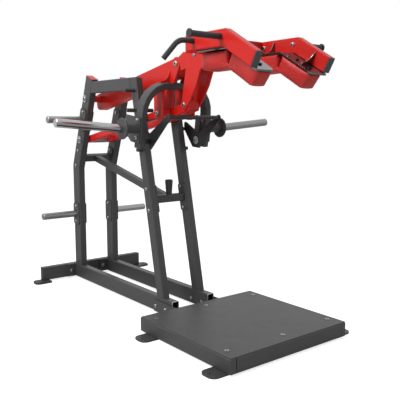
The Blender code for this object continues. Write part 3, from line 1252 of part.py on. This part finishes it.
BODIES = {
    "upper_arm": (PIVOT_A, ["upper_arm", "upper_arm_sleeve"]),
    "lower_arm": (PIVOT_D, ["lower_arm", "lower_arm_sleeve"]),
    "carriage": (PIVOT_B, ["yoke", "carriage_bracket", "link_plate_left", "link_plate_right", "yoke_lug_left",
                           "yoke_lug_right", "carriage_pivot_upper", "carriage_pivot_lower", "horn_hub_left",
                           "horn_hub_right", "loading_sleeve_left", "loading_sleeve_right", "pad_frame",
                           "pad_carrier", "shoulder_arm_left", "shoulder_arm_right", "pad_board_left",
                           "pad_board_right", "shoulder_pad_left", "shoulder_pad_right", "straight_grip_left",
                           "straight_grip_right", "bent_grip_left", "bent_grip_right"]),
    "catch_lever": (LEVER_PIVOT, ["catch_lever"]),
}

make_base()
make_deck()
make_uprights()
make_cross_members()
make_storage()
make_frame_pivots()
make_upper_arm()
make_lower_arm()
make_yoke()
make_link_plates()
make_horns()
make_pad_frame()
make_shoulder_arms()
make_pads()
make_grips()
make_lever()
finish_parts()
hang_bodies()
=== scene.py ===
import json
import math

import bpy
from mathutils import Matrix, Vector


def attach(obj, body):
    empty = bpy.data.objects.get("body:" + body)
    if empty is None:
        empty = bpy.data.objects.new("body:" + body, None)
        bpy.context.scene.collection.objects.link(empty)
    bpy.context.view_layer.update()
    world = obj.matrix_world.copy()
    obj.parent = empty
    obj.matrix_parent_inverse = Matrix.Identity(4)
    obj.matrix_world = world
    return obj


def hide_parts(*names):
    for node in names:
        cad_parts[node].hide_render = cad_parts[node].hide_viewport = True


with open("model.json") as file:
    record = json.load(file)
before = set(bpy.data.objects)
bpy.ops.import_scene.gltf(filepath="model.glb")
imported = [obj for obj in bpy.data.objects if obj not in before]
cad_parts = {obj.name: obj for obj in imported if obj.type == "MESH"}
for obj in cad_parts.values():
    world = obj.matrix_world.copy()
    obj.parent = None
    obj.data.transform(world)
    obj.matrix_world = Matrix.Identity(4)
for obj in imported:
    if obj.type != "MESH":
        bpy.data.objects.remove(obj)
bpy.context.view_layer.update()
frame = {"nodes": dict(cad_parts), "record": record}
nodes = frame["nodes"]
sides = {"left": -1, "right": 1}
print("frame loaded:", len(nodes), "parts")

# finishes


def srgb(code):
    # a hex colour as seen on a screen, turned into the linear values that a shader wants
    values = [int(code[i:i + 2], 16) / 255 for i in (1, 3, 5)]
    return tuple(v / 12.92 if v <= 0.04045 else ((v + 0.055) / 1.055) ** 2.4 for v in values) + (1.0,)


def addNode(tree, kind, links=None, **settings):
    # one node, with settings by attribute or by socket name (_ for a space),
    # and links from a socket's name or number to another node's output
    node = tree.nodes.new(kind)
    for name, value in settings.items():
        if hasattr(node, name):
            setattr(node, name, value)
        else:
            node.inputs[name.replace("_", " ")].default_value = value
    for socket, output in (links or {}).items():
        tree.links.new(output, node.inputs[socket])
    return node


def newMaterial(name, roughness, metallic=0.0, specular=0.5, ior=1.5):
    material = bpy.data.materials.new(name)
    material.use_nodes = True
    tree = material.node_tree
    shader = tree.nodes["Principled BSDF"]
    shader.inputs["Roughness"].default_value = roughness
    shader.inputs["Metallic"].default_value = metallic
    shader.inputs["IOR"].default_value = ior
    shader.inputs["Specular IOR Level"].default_value = specular
    place = addNode(tree, "ShaderNodeTexCoord").outputs["Object"]
    return material, tree, shader, place


def twoTones(tree, factor, first, second):
    # a blend of two colours, each a hex value or another node's output
    mix = addNode(tree, "ShaderNodeMix", data_type="RGBA")
    tree.links.new(factor, mix.inputs[0])
    for socket, tone in ((6, first), (7, second)):
        if isinstance(tone, str):
            mix.inputs[socket].default_value = srgb(tone)
        else:
            tree.links.new(tone, mix.inputs[socket])
    return mix.outputs[2]


def driftingTone(tree, shader, place, patches, detail, colour, shade):
    # a base colour that wanders between two tones, with so many patches to the metre
    cloud = addNode(tree, "ShaderNodeTexNoise", {"Vector": place}, Scale=patches, Detail=detail)
    tree.links.new(twoTones(tree, cloud.outputs["Fac"], colour, shade), shader.inputs["Base Color"])


def grainBump(tree, shader, place, size, strength, height, detail=2.0):
    # fine relief of a real size in metres
    grain = addNode(tree, "ShaderNodeTexNoise", {"Vector": place}, Scale=1 / size, Detail=detail)
    bump = addNode(tree, "ShaderNodeBump", {"Height": grain.outputs["Fac"]},
                   Strength=strength, Distance=height)
    tree.links.new(bump.outputs["Normal"], shader.inputs["Normal"])
    return bump


def roughnessDrift(tree, shader, place, size, low, high):
    # handling marks: the gloss changes a little over the surface
    drift = addNode(tree, "ShaderNodeTexNoise", {"Vector": place}, Scale=1 / size, Detail=3.0)
    spread = addNode(tree, "ShaderNodeMapRange", {"Value": drift.outputs["Fac"]}, To_Min=low, To_Max=high)
    tree.links.new(spread.outputs["Result"], shader.inputs["Roughness"])


coating = {"patches": 4.0, "relief": 0.10, "reliefHeight": 0.0004, "edge": 0.0014, "marks": 0.06,
           "glossier": 0.03, "duller": 0.06}


def powderCoat(name, colour, shade, roughness, peel, specular=0.5, ior=1.5):
    # powder-coated steel: orange peel, tone that drifts over a part, softened edges
    material, tree, shader, place = newMaterial(name, roughness, specular=specular, ior=ior)
    driftingTone(tree, shader, place, coating["patches"], 2.0, colour, shade)
    bump = grainBump(tree, shader, place, peel, coating["relief"], coating["reliefHeight"])
    edge = addNode(tree, "ShaderNodeBevel", samples=4, Radius=coating["edge"])
    tree.links.new(edge.outputs["Normal"], bump.inputs["Normal"])
    roughnessDrift(tree, shader, place, coating["marks"], roughness - coating["glossier"],
                   roughness + coating["duller"])
    return material


plating = {"patches": 9.0, "relief": 0.05, "reliefHeight": 0.0002, "marks": 0.02}


def metal(name, colour, shade, low, high, scratch):
    # plated steel: faint turning marks and a drifting polish
    material, tree, shader, place = newMaterial(name, low, 1.0)
    driftingTone(tree, shader, place, plating["patches"], 3.0, colour, shade)
    grainBump(tree, shader, place, scratch, plating["relief"], plating["reliefHeight"])
    roughnessDrift(tree, shader, place, plating["marks"], low, high)
    return material


# the coats differ in tone and gloss; the boards' black paint mirrors strongly, so its IOR is high
charcoalRoughness = 0.44
redCoat = powderCoat("redPowderCoat", "#DA251E", "#D2211B", 0.34, 0.0035, 0.30)
charcoalCoat = powderCoat("charcoalPowderCoat", "#434344", "#3E3E3F", charcoalRoughness, 0.003)
deckCoat = powderCoat("deckPowderCoat", "#424343", "#3E3E3F", 0.48, 0.0025)
boardPaint = powderCoat("glossBlackPaint", "#1B1A1C", "#161517", 0.12, 0.006, ior=2.4)
leverCoat = powderCoat("blackPowderCoat", "#1F1F20", "#1B1B1C", 0.40, 0.003)
chrome = metal("hardChrome", "#B6B6B8", "#AAAAAC", 0.12, 0.18, 0.002)
satinSteel = metal("satinPlatedSteel", "#9C9C9D", "#939395", 0.48, 0.56, 0.0015)
zinc = metal("brightZinc", "#B4B5B7", "#A2A3A6", 0.26, 0.36, 0.001)
blackScrew = metal("blackOxide", "#3C3B3D", "#323133", 0.30, 0.40, 0.001)
socketDark = metal("socketShadow", "#2A2A2B", "#222223", 0.45, 0.55, 0.001)

# moulded black rubber of grips, bumper and stops: a matt, slightly clouded skin
rubber = {"patches": 12.0, "grain": 0.0009, "grainHeight": 0.0003, "marks": 0.015}
blackRubber, tree, shader, place = newMaterial("mouldedRubber", 0.55)
driftingTone(tree, shader, place, rubber["patches"], 4.0, "#2C2C2E", "#222224")
grainBump(tree, shader, place, rubber["grain"], 0.22, rubber["grainHeight"], 5.0)
roughnessDrift(tree, shader, place, rubber["marks"], 0.48, 0.62)

# upholstery vinyl: pebbled leather grain with fine creases
vinyl = {"pebble": 0.0019, "pebbleHeight": 0.0003, "crease": 0.012, "creaseHeight": 0.001,
         "marks": 0.03, "light": "#C7241E", "dark": "#BA1F1A"}
redVinyl, tree, shader, place = newMaterial("upholsteryVinyl", 0.40)
cells = addNode(tree, "ShaderNodeTexVoronoi", {"Vector": place}, Scale=1 / vinyl["pebble"])
folds = addNode(tree, "ShaderNodeTexNoise", {"Vector": place}, Scale=1 / vinyl["crease"], Detail=6.0)
vinylTone = twoTones(tree, folds.outputs["Fac"], vinyl["light"], vinyl["dark"])
tree.links.new(vinylTone, shader.inputs["Base Color"])
pebbles = addNode(tree, "ShaderNodeBump", {"Height": cells.outputs["Distance"]}, invert=True,
                  Strength=0.16, Distance=vinyl["pebbleHeight"])
creases = addNode(tree, "ShaderNodeBump",
                  {"Height": folds.outputs["Fac"], "Normal": pebbles.outputs["Normal"]},
                  Strength=0.10, Distance=vinyl["creaseHeight"])
tree.links.new(creases.outputs["Normal"], shader.inputs["Normal"])
roughnessDrift(tree, shader, place, vinyl["marks"], 0.36, 0.46)


def pastLimit(tree, place, axis, limit, bothEnds):
    # 1 beyond the limit at both ends of an axis, or else only where the coordinate lies before it
    split = addNode(tree, "ShaderNodeSeparateXYZ", {"Vector": place})
    value = split.outputs[axis]
    if bothEnds:
        value = addNode(tree, "ShaderNodeMath", {0: value}, operation="ABSOLUTE").outputs[0]
    gate = addNode(tree, "ShaderNodeMath", {0: value}, operation="GREATER_THAN" if bothEnds else "LESS_THAN")
    gate.inputs[1].default_value = limit
    return gate.outputs[0]


def partPainted(name, metallic, colour, roughness, axis, limit, bothEnds=True):
    # a copy of the charcoal paint whose far end is something else: a steel post, a plastic cap, a bare edge
    # made wide and light as a painted highlight
    material = charcoalCoat.copy()
    material.name = name
    tree = material.node_tree
    shader = tree.nodes["Principled BSDF"]
    place = next(n for n in tree.nodes if n.bl_idname == "ShaderNodeTexCoord").outputs["Object"]
    gate = pastLimit(tree, place, axis, limit, bothEnds)
    painted = shader.inputs["Base Color"].links[0].from_socket
    tree.links.new(twoTones(tree, gate, painted, colour), shader.inputs["Base Color"])
    steel = addNode(tree, "ShaderNodeMath", {0: gate}, operation="MULTIPLY")
    steel.inputs[1].default_value = metallic
    tree.links.new(steel.outputs[0], shader.inputs["Metallic"])
    gloss = addNode(tree, "ShaderNodeMapRange", {"Value": gate}, To_Min=charcoalRoughness, To_Max=roughness)
    tree.links.new(gloss.outputs["Result"], shader.inputs["Roughness"])
    return material


# where the second finish starts: across the machine for posts and caps, along it for the rails' rims, bare
# steel reaching onto the tube's side as a painted highlight
finishEdge = {"storagePost": 0.1736, "crossbarCap": 0.4262, "railRim": -0.2515}
storageLook = partPainted("clampPaintAndSteelPost", 1.0, "#9B9B9C", 0.34, 0, finishEdge["storagePost"])
crossbarLook = partPainted("crossbarPaintAndCaps", 0.0, "#2B2B2C", 0.55, 0, finishEdge["crossbarCap"])
# the rails' open ends: the cut rim in bare steel, spread 3.5 mm back along the tube in light grey, a painted
# highlight of the lit edge
railLook = partPainted("railPaintAndBareRimWithPaintedHighlight", 1.0, "#D8D8D8", 0.45, 1, finishEdge["railRim"], False)

slotLook = {"charcoal_coat": charcoalCoat, "red_coat": redCoat, "chrome": chrome, "bare_steel": satinSteel,
            "zinc": zinc, "black_rubber": blackRubber, "black_board": boardPaint, "red_vinyl": redVinyl}
ownLook = {"deck_sheet": deckCoat, "rear_crossbar": crossbarLook, "catch_lever": leverCoat}
for word in sides:
    ownLook["lower_storage_" + word] = storageLook
    ownLook["upper_storage_" + word] = storageLook
    ownLook["base_rail_" + word] = railLook
for part in frame["record"]["subparts"]:
    node = nodes[part["node"]]
    node.data.materials.clear()
    node.data.materials.append(ownLook.get(part["node"], slotLook[part["material_slot"]]))
print("finishes on")

# camera: the place, tilt and turn fitted to the photograph, with its focal length and width in pixels
shot = {"place": (-2.240, -3.156, 1.224), "tilt": 7.598, "turn": -38.31,
        "sensor": 36, "focal": 597.44, "width": 400}
camera = bpy.data.objects.new("camera", bpy.data.cameras.new("camera"))
bpy.context.scene.collection.objects.link(camera)
camera.location = shot["place"]
camera.rotation_euler = (math.radians(90 - shot["tilt"]), 0, math.radians(shot["turn"]))
camera.data.sensor_width = shot["sensor"]
camera.data.lens = shot["sensor"] * shot["focal"] / shot["width"]
bpy.context.scene.camera = camera

# floor, background and lamps
studio = {"sky": 0.35, "floor": 0.86, "floorGlow": 0.75, "floorSize": 40, "floorLevel": -0.001,
          "key": 136, "top": 10, "front": 4}


def seenDirectly(tree, withGlossy):
    # 1 for rays that show the background itself, with mirrored and passing rays where asked for
    path = addNode(tree, "ShaderNodeLightPath")
    seen = path.outputs["Is Camera Ray"]
    if withGlossy:
        for ray in ("Is Glossy Ray", "Is Transmission Ray"):
            larger = addNode(tree, "ShaderNodeMath", {0: seen, 1: path.outputs[ray]}, operation="MAXIMUM")
            seen = larger.outputs[0]
    return seen


bpy.ops.object.select_all(action="DESELECT")
bpy.ops.mesh.primitive_plane_add(size=studio["floorSize"], location=(0, 0, studio["floorLevel"]))
floor = bpy.context.object
floor.name = "floor"
floorLook = bpy.data.materials.new("paleFloor")
floorLook.use_nodes = True
tree = floorLook.node_tree
shader = tree.nodes["Principled BSDF"]
shader.inputs["Base Color"].default_value = (studio["floor"],) * 3 + (1,)
shader.inputs["Roughness"].default_value = 0.9
shader.inputs["Specular IOR Level"].default_value = 0.0
glow = addNode(tree, "ShaderNodeEmission", Strength=studio["floorGlow"])
lit = addNode(tree, "ShaderNodeAddShader", {0: shader.outputs["BSDF"], 1: glow.outputs["Emission"]})
choice = addNode(tree, "ShaderNodeMixShader",
                 {0: seenDirectly(tree, False), 1: shader.outputs["BSDF"], 2: lit.outputs["Shader"]})
tree.links.new(choice.outputs["Shader"], tree.nodes["Material Output"].inputs["Surface"])
floor.data.materials.append(floorLook)

world = bpy.data.worlds.new("studio")
bpy.context.scene.world = world
world.use_nodes = True
tree = world.node_tree
sky = tree.nodes["Background"]
sky.inputs["Color"].default_value = (1, 1, 1, 1)
strength = addNode(tree, "ShaderNodeMapRange", {"Value": seenDirectly(tree, True)},
                   To_Min=studio["sky"], To_Max=1.0)
tree.links.new(strength.outputs["Result"], sky.inputs["Strength"])


def softLamp(name, place, aim, width, power):
    lamp = bpy.data.lights.new(name, "AREA")
    lamp.shape = "SQUARE"
    lamp.size = width
    lamp.energy = power
    thing = bpy.data.objects.new(name, lamp)
    thing.location = place
    thing.rotation_euler = (Vector(place) - Vector(aim)).to_track_quat("Z", "Y").to_euler()
    bpy.context.scene.collection.objects.link(thing)


softLamp("keyLamp", (-3.5, -0.1, 4.0), (0, 0, 0.9), 1.8, studio["key"])
softLamp("topLamp", (-0.3, 0.4, 4.4), (0, 0, 0.6), 3.0, studio["top"])
softLamp("frontLamp", (0.6, -4.5, 2.0), (0, 0, 0.8), 2.6, studio["front"])
bpy.context.scene.view_settings.view_transform = "Standard"
print("studio ready")

# fasteners: each kind of head and the nut are modelled once, then copied to every place


def selectFaces(piece, wanted):
    # face selection by place or normal, in edit mode
    bpy.ops.object.mode_set(mode="OBJECT")
    bpy.context.tool_settings.mesh_select_mode = (False, False, True)
    for polygon in piece.data.polygons:
        polygon.select = wanted(polygon)
    bpy.ops.object.mode_set(mode="EDIT")


def startCylinder(name, corners, radius, height):
    bpy.ops.object.select_all(action="DESELECT")
    bpy.ops.mesh.primitive_cylinder_add(vertices=corners, radius=radius, depth=height,
                                        location=(0, 0, height / 2))
    piece = bpy.context.object
    piece.name = name
    bpy.ops.object.transform_apply(location=True, rotation=True, scale=True)
    return piece


def isTop(polygon):
    # a level face whose centre lies on the piece's axis
    return polygon.normal.z > 0.99 and math.hypot(*polygon.center.xy) < 0.0001


def extrudeUp(height):
    bpy.ops.mesh.extrude_region_move(TRANSFORM_OT_translate={"value": (0, 0, height)})


# a domed head: the share of its height that stands straight, then each rounding step's way in and up
dome = {"corners": 24, "straight": 0.62, "steps": [(0.10, 0.25), (0.16, 0.13)], "smoothAngle": 35}
# shares of a nut's radius and height: flats, chamfer's way in and up, the bolt's end in it
nutShape = {"corners": 6, "flats": 0.85, "chamferIn": 0.10, "chamferUp": 0.15,
            "boltEdge": 0.40, "boltUp": 0.22}


def modelHead(name, washer, thick, head, rise, recess, depth):
    # a washer with a domed socket head on it, bright but for the blackened screws of the boards
    piece = startCylinder(name, dome["corners"], washer, thick)
    selectFaces(piece, isTop)
    bpy.ops.mesh.inset(thickness=washer - head)
    extrudeUp((rise - thick) * dome["straight"])
    for inwards, upwards in dome["steps"]:
        bpy.ops.mesh.inset(thickness=head * inwards, depth=(rise - thick) * upwards)
    flat = head * (1 - sum(inwards for inwards, upwards in dome["steps"]))
    bpy.ops.mesh.inset(thickness=flat - recess)
    extrudeUp(-depth)
    bpy.ops.object.mode_set(mode="OBJECT")
    piece.data.materials.append(blackScrew if name == "boardHead" else zinc)
    piece.data.materials.append(socketDark)
    for polygon in piece.data.polygons:
        reach = max(math.hypot(*piece.data.vertices[i].co.xy) for i in polygon.vertices)
        polygon.material_index = 1 if reach < recess * 1.02 else 0
    bpy.ops.object.shade_smooth_by_angle(angle=math.radians(dome["smoothAngle"]))
    return piece


def modelNut(name, radius, rise):
    # a chamfered hexagon with the bolt's end in it
    piece = startCylinder(name, nutShape["corners"], radius, rise * nutShape["flats"])
    selectFaces(piece, isTop)
    bpy.ops.mesh.inset(thickness=radius * nutShape["chamferIn"], depth=rise * nutShape["chamferUp"])
    bpy.ops.mesh.inset(thickness=radius * nutShape["boltEdge"], depth=0.0)
    extrudeUp(rise * nutShape["boltUp"])
    bpy.ops.object.mode_set(mode="OBJECT")
    piece.data.materials.append(zinc)
    return piece


def placeCopies(model, name, places, body):
    # each place is a point and a direction; the copies are joined to one piece that rides on a body
    copies = []
    for point, direction in places:
        turn = Vector((0, 0, 1)).rotation_difference(Vector(direction)).to_matrix().to_4x4()
        copy = bpy.data.objects.new(name, model.data.copy())
        copy.data.transform(Matrix.Translation(point) @ turn)
        bpy.context.scene.collection.objects.link(copy)
        copies.append(copy)
    bpy.ops.object.select_all(action="DESELECT")
    for copy in copies:
        copy.select_set(True)
    bpy.context.view_layer.objects.active = copies[0]
    bpy.ops.object.join()
    piece = bpy.context.view_layer.objects.active
    piece.name = name
    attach(piece, body)


def mirrored(places):
    # the same places on both sides of the machine: distance from its middle, y, z and way outwards
    return [((side * x, y, z), (side * way, 0, 0)) for side in (-1, 1) for x, y, z, way in places]


# for each kind of head: the radius and top of its washer, the radius and top of the head,
# and the radius and depth of the socket
headSizes = {
    "boltHead": (0.0132, 0.0013, 0.0112, 0.0092, 0.0052, 0.0024),
    "boardHead": (0.0102, 0.0062, 0.0100, 0.0072, 0.0042, 0.0010),
    "pivotHead": (0.0285, 0.0038, 0.0170, 0.0118, 0.0078, 0.0022),
    "swivelHead": (0.0180, 0.0014, 0.0164, 0.0092, 0.0070, 0.0024),
    "stubHead": (0.0160, 0.0014, 0.0140, 0.0086, 0.0062, 0.0022),
    "leverHead": (0.0256, 0.0036, 0.0125, 0.0108, 0.0058, 0.0016),
    "screwHead": (0.0122, 0.0024, 0.0100, 0.0034, 0.0050, 0.0010),
}
models = {name: modelHead(name, *size) for name, size in headSizes.items()}
models["nut"] = modelNut("nut", 0.0116, 0.0074)

# bolts through a tube or plate: the body, the faces on which the head and the nut sit,
# and each bolt's y and z
boltX = {"frame": 0.1650, "plate": 0.1733, "inner": 0.1150, "innerPlate": 0.1067,
         "hub": 0.2773, "hubInner": 0.2270}
throughBolts = {
    "baseJoint": ("frame", "plate", "inner", [(-0.084, 0.0502), (-0.194, 0.0502)]),
    "rearBeam": ("frame", "frame", "innerPlate", [(0.9931, 0.8832), (0.9502, 0.9974)]),
    "frontBeam": ("frame", "frame", "innerPlate", [(-0.0083, 0.6545), (0.0201, 0.7895)]),
    "lowerStorage": ("frame", "plate", "innerPlate", [(0.995, 0.4565), (0.995, 0.5735)]),
    "upperStorage": ("frame", "plate", "innerPlate", [(0.8841, 1.1732), (0.843, 1.2828)]),
    "hornBase": ("carriage", "hub", "hubInner", [(-0.045, 1.1196), (-0.0601, 1.2245)]),
}
for name, (body, outer, inner, spots) in throughBolts.items():
    heads = mirrored([(boltX[outer], y, z, 1) for y, z in spots])
    ends = mirrored([(boltX[inner], y, z, -1) for y, z in spots])
    placeCopies(models["boltHead"], name + "Bolts", heads, body)
    placeCopies(models["nut"], name + "Nuts", ends, body)

# the other heads: where they sit on flat or sloping faces, then each group's kind, body and places
armSlope = math.radians(29.5)  # how steeply the shoulder arms fall
level = (0, 0, 1)
onSlope = (0, -math.sin(armSlope), math.cos(armSlope))
flange = {"x": (0.081, 0.199), "y": 1.0462, "z": 0.0629}
board = {"x": 0.178, "spots": [(-0.6598, 1.5877, level), (-0.7798, 1.5877, level),
                               (-0.9281, 1.5434, onSlope), (-1.0152, 1.4941, onSlope)]}
deck = {"z": 0.0933, "spots": [(-0.38, -1.014), (0.38, -1.014), (0, -1.031),
                               (-0.38, -0.4001), (0.38, -0.4001), (0, -0.3831)]}
flangePlaces = [((side * x, flange["y"], flange["z"]), (0, -1, 0)) for side in (-1, 1) for x in flange["x"]]
boardPlaces = [((side * board["x"], y, z), way) for side in (-1, 1) for y, z, way in board["spots"]]
deckPlaces = [((x, y, deck["z"]), level) for x, y in deck["spots"]]
headGroups = {
    "strapBolts": ("boltHead", "carriage", mirrored([(0.0525, -0.334, 1.602, 1)])),
    "gripBolts": ("boltHead", "carriage",
                  mirrored([(0.238, -0.839, 1.635, -1), (0.238, -0.618, 1.635, -1)])),
    "flangeBolts": ("boltHead", "frame", flangePlaces),
    "boardBolts": ("boardHead", "carriage", boardPlaces),
    "framePivotHeads": ("pivotHead", "frame",
                        mirrored([(0.1651, 0.823, 1.380, 1), (0.1651, 0.922, 1.081, 1)])),
    "carriagePivotHeads": ("swivelHead", "carriage",
                           mirrored([(0.0526, -0.150, 1.566, 1), (0.1241, -0.051, 1.267, 1)])),
    "stubBolts": ("stubHead", "carriage", mirrored([(0.0525, -0.229, 1.317, 1)])),
    "leverPinHeads": ("leverHead", "carriage", mirrored([(0.1857, -0.043, 1.095, -1)])),
    "deckScrews": ("screwHead", "frame", deckPlaces),
}
for name, (kind, body, places) in headGroups.items():
    placeCopies(models[kind], name, places, body)
for model in models.values():
    bpy.data.objects.remove(model, do_unlink=True)
print("fasteners on")


def applyModifier(piece, kind, **settings):
    modifier = piece.modifiers.new(kind.lower(), kind)
    for name, value in settings.items():
        setattr(modifier, name, value)
    bpy.ops.object.modifier_apply(modifier=modifier.name)


# end caps of the shoulder arms, pushed into the sloping ends
armCap = {"x": 0.2595, "width": 0.0428, "height": 0.0836, "thick": 0.0045, "rim": 0.0030, "dish": 0.0008,
          "edge": 0.00096, "reach": 0.258, "drop": 0.042, "air": 0.0002, "patches": 20.0, "grain": 0.0012}
apex = Vector((0, -0.872, 1.672))  # where an arm's top line bends downwards
run = Vector((0, -math.cos(armSlope), -math.sin(armSlope)))  # along the sloping arm
down = Vector((0, 0.4924, -0.8704))  # square to it, to the arm's underside

# matt dark plastic, a little lighter than the rubber
capPlastic, tree, shader, place = newMaterial("capPlastic", 0.5)
driftingTone(tree, shader, place, armCap["patches"], 3.0, "#49494A", "#424243")
grainBump(tree, shader, place, armCap["grain"], 0.15, 0.0002)


def makeArmCap(word):
    bpy.ops.object.select_all(action="DESELECT")
    bpy.ops.mesh.primitive_cube_add(size=1, location=(0, 0, 0))
    cap = bpy.context.object
    cap.name = "armEndCap_" + word
    cap.scale = (armCap["width"], armCap["height"], armCap["thick"])
    bpy.ops.object.transform_apply(location=False, rotation=False, scale=True)
    selectFaces(cap, lambda polygon: polygon.normal.z > 0.9)
    bpy.ops.mesh.inset(thickness=armCap["rim"], depth=armCap["dish"])
    bpy.ops.object.mode_set(mode="OBJECT")
    applyModifier(cap, "BEVEL", width=armCap["edge"], segments=2, limit_method="ANGLE",
                  angle_limit=math.radians(40))
    centre = apex + run * (armCap["reach"] + armCap["thick"] / 2 + armCap["air"]) + down * armCap["drop"]
    turn = Matrix((Vector((-1, 0, 0)), down, run)).transposed()
    cap.data.transform(Matrix.Translation((sides[word] * armCap["x"], centre.y, centre.z)) @ turn.to_4x4())
    cap.data.materials.append(capPlastic)
    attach(cap, "carriage")


for word in sides:
    makeArmCap(word)
print("arm caps on")

# shoulder cushions: the CAD block, shrunk a little and blown up as cloth against its board
cushion = {"shrink": 0.0035, "voxel": 0.0055, "pressure": 4.0, "frames": 20, "cap": 0.006, "hold": 0.006}
boardBend = Vector((0, -0.8471, 1.5774))  # where the board's underside bends downwards
bendOverlap = 0.01  # stretch at the bend where both lines count


def nearBoard(point):
    # how far a point lies from the line of the board's underside
    ahead = Vector((0, point.y, point.z)) - boardBend
    levelGap = abs(ahead.z) if ahead.y > -bendOverlap else 1.0
    slopeGap = abs(ahead.dot(down)) if ahead.y < bendOverlap else 1.0
    return min(levelGap, slopeGap)


def blowUp(piece):
    # cloth under pressure, held at the board; no point moves further than the cap allows
    held = piece.vertex_groups.new(name="held")
    atBoard = [v.index for v in piece.data.vertices if nearBoard(v.co) < cushion["hold"]]
    held.add(atBoard, 1.0, "REPLACE")
    before = [v.co.copy() for v in piece.data.vertices]
    cloth = piece.modifiers.new("cloth", "CLOTH")
    cloth.settings.use_pressure = True
    cloth.settings.uniform_pressure_force = cushion["pressure"]
    cloth.settings.effector_weights.gravity = 0
    cloth.settings.vertex_group_mass = "held"
    for step in range(1, cushion["frames"] + 1):
        bpy.context.scene.frame_set(step)
    bpy.ops.object.modifier_apply(modifier=cloth.name)
    bpy.context.scene.frame_set(1)
    for vertex, start in zip(piece.data.vertices, before):
        move = vertex.co - start
        if move.length > cushion["cap"]:
            vertex.co = start + move * (cushion["cap"] / move.length)
    piece.vertex_groups.clear()


def makeCushion(word):
    source = nodes["shoulder_pad_" + word]
    piece = bpy.data.objects.new("cushion_" + word, source.data.copy())
    bpy.context.scene.collection.objects.link(piece)
    bpy.ops.object.select_all(action="DESELECT")
    piece.select_set(True)
    bpy.context.view_layer.objects.active = piece
    bpy.ops.object.mode_set(mode="EDIT")
    bpy.ops.mesh.select_all(action="SELECT")
    bpy.ops.mesh.remove_doubles(threshold=0.0001)
    bpy.ops.mesh.normals_make_consistent(inside=False)
    bpy.ops.object.mode_set(mode="OBJECT")
    applyModifier(piece, "DISPLACE", strength=-cushion["shrink"], mid_level=0.0)
    applyModifier(piece, "REMESH", mode="VOXEL", voxel_size=cushion["voxel"])
    blowUp(piece)
    applyModifier(piece, "SMOOTH", factor=0.5, iterations=3)
    applyModifier(piece, "SUBSURF", levels=1, render_levels=1)
    bpy.ops.object.shade_smooth()
    piece.data.materials.clear()
    piece.data.materials.append(redVinyl)
    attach(piece, "carriage")
    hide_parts("shoulder_pad_" + word)


for word in sides:
    makeCushion(word)
print("cushions made")
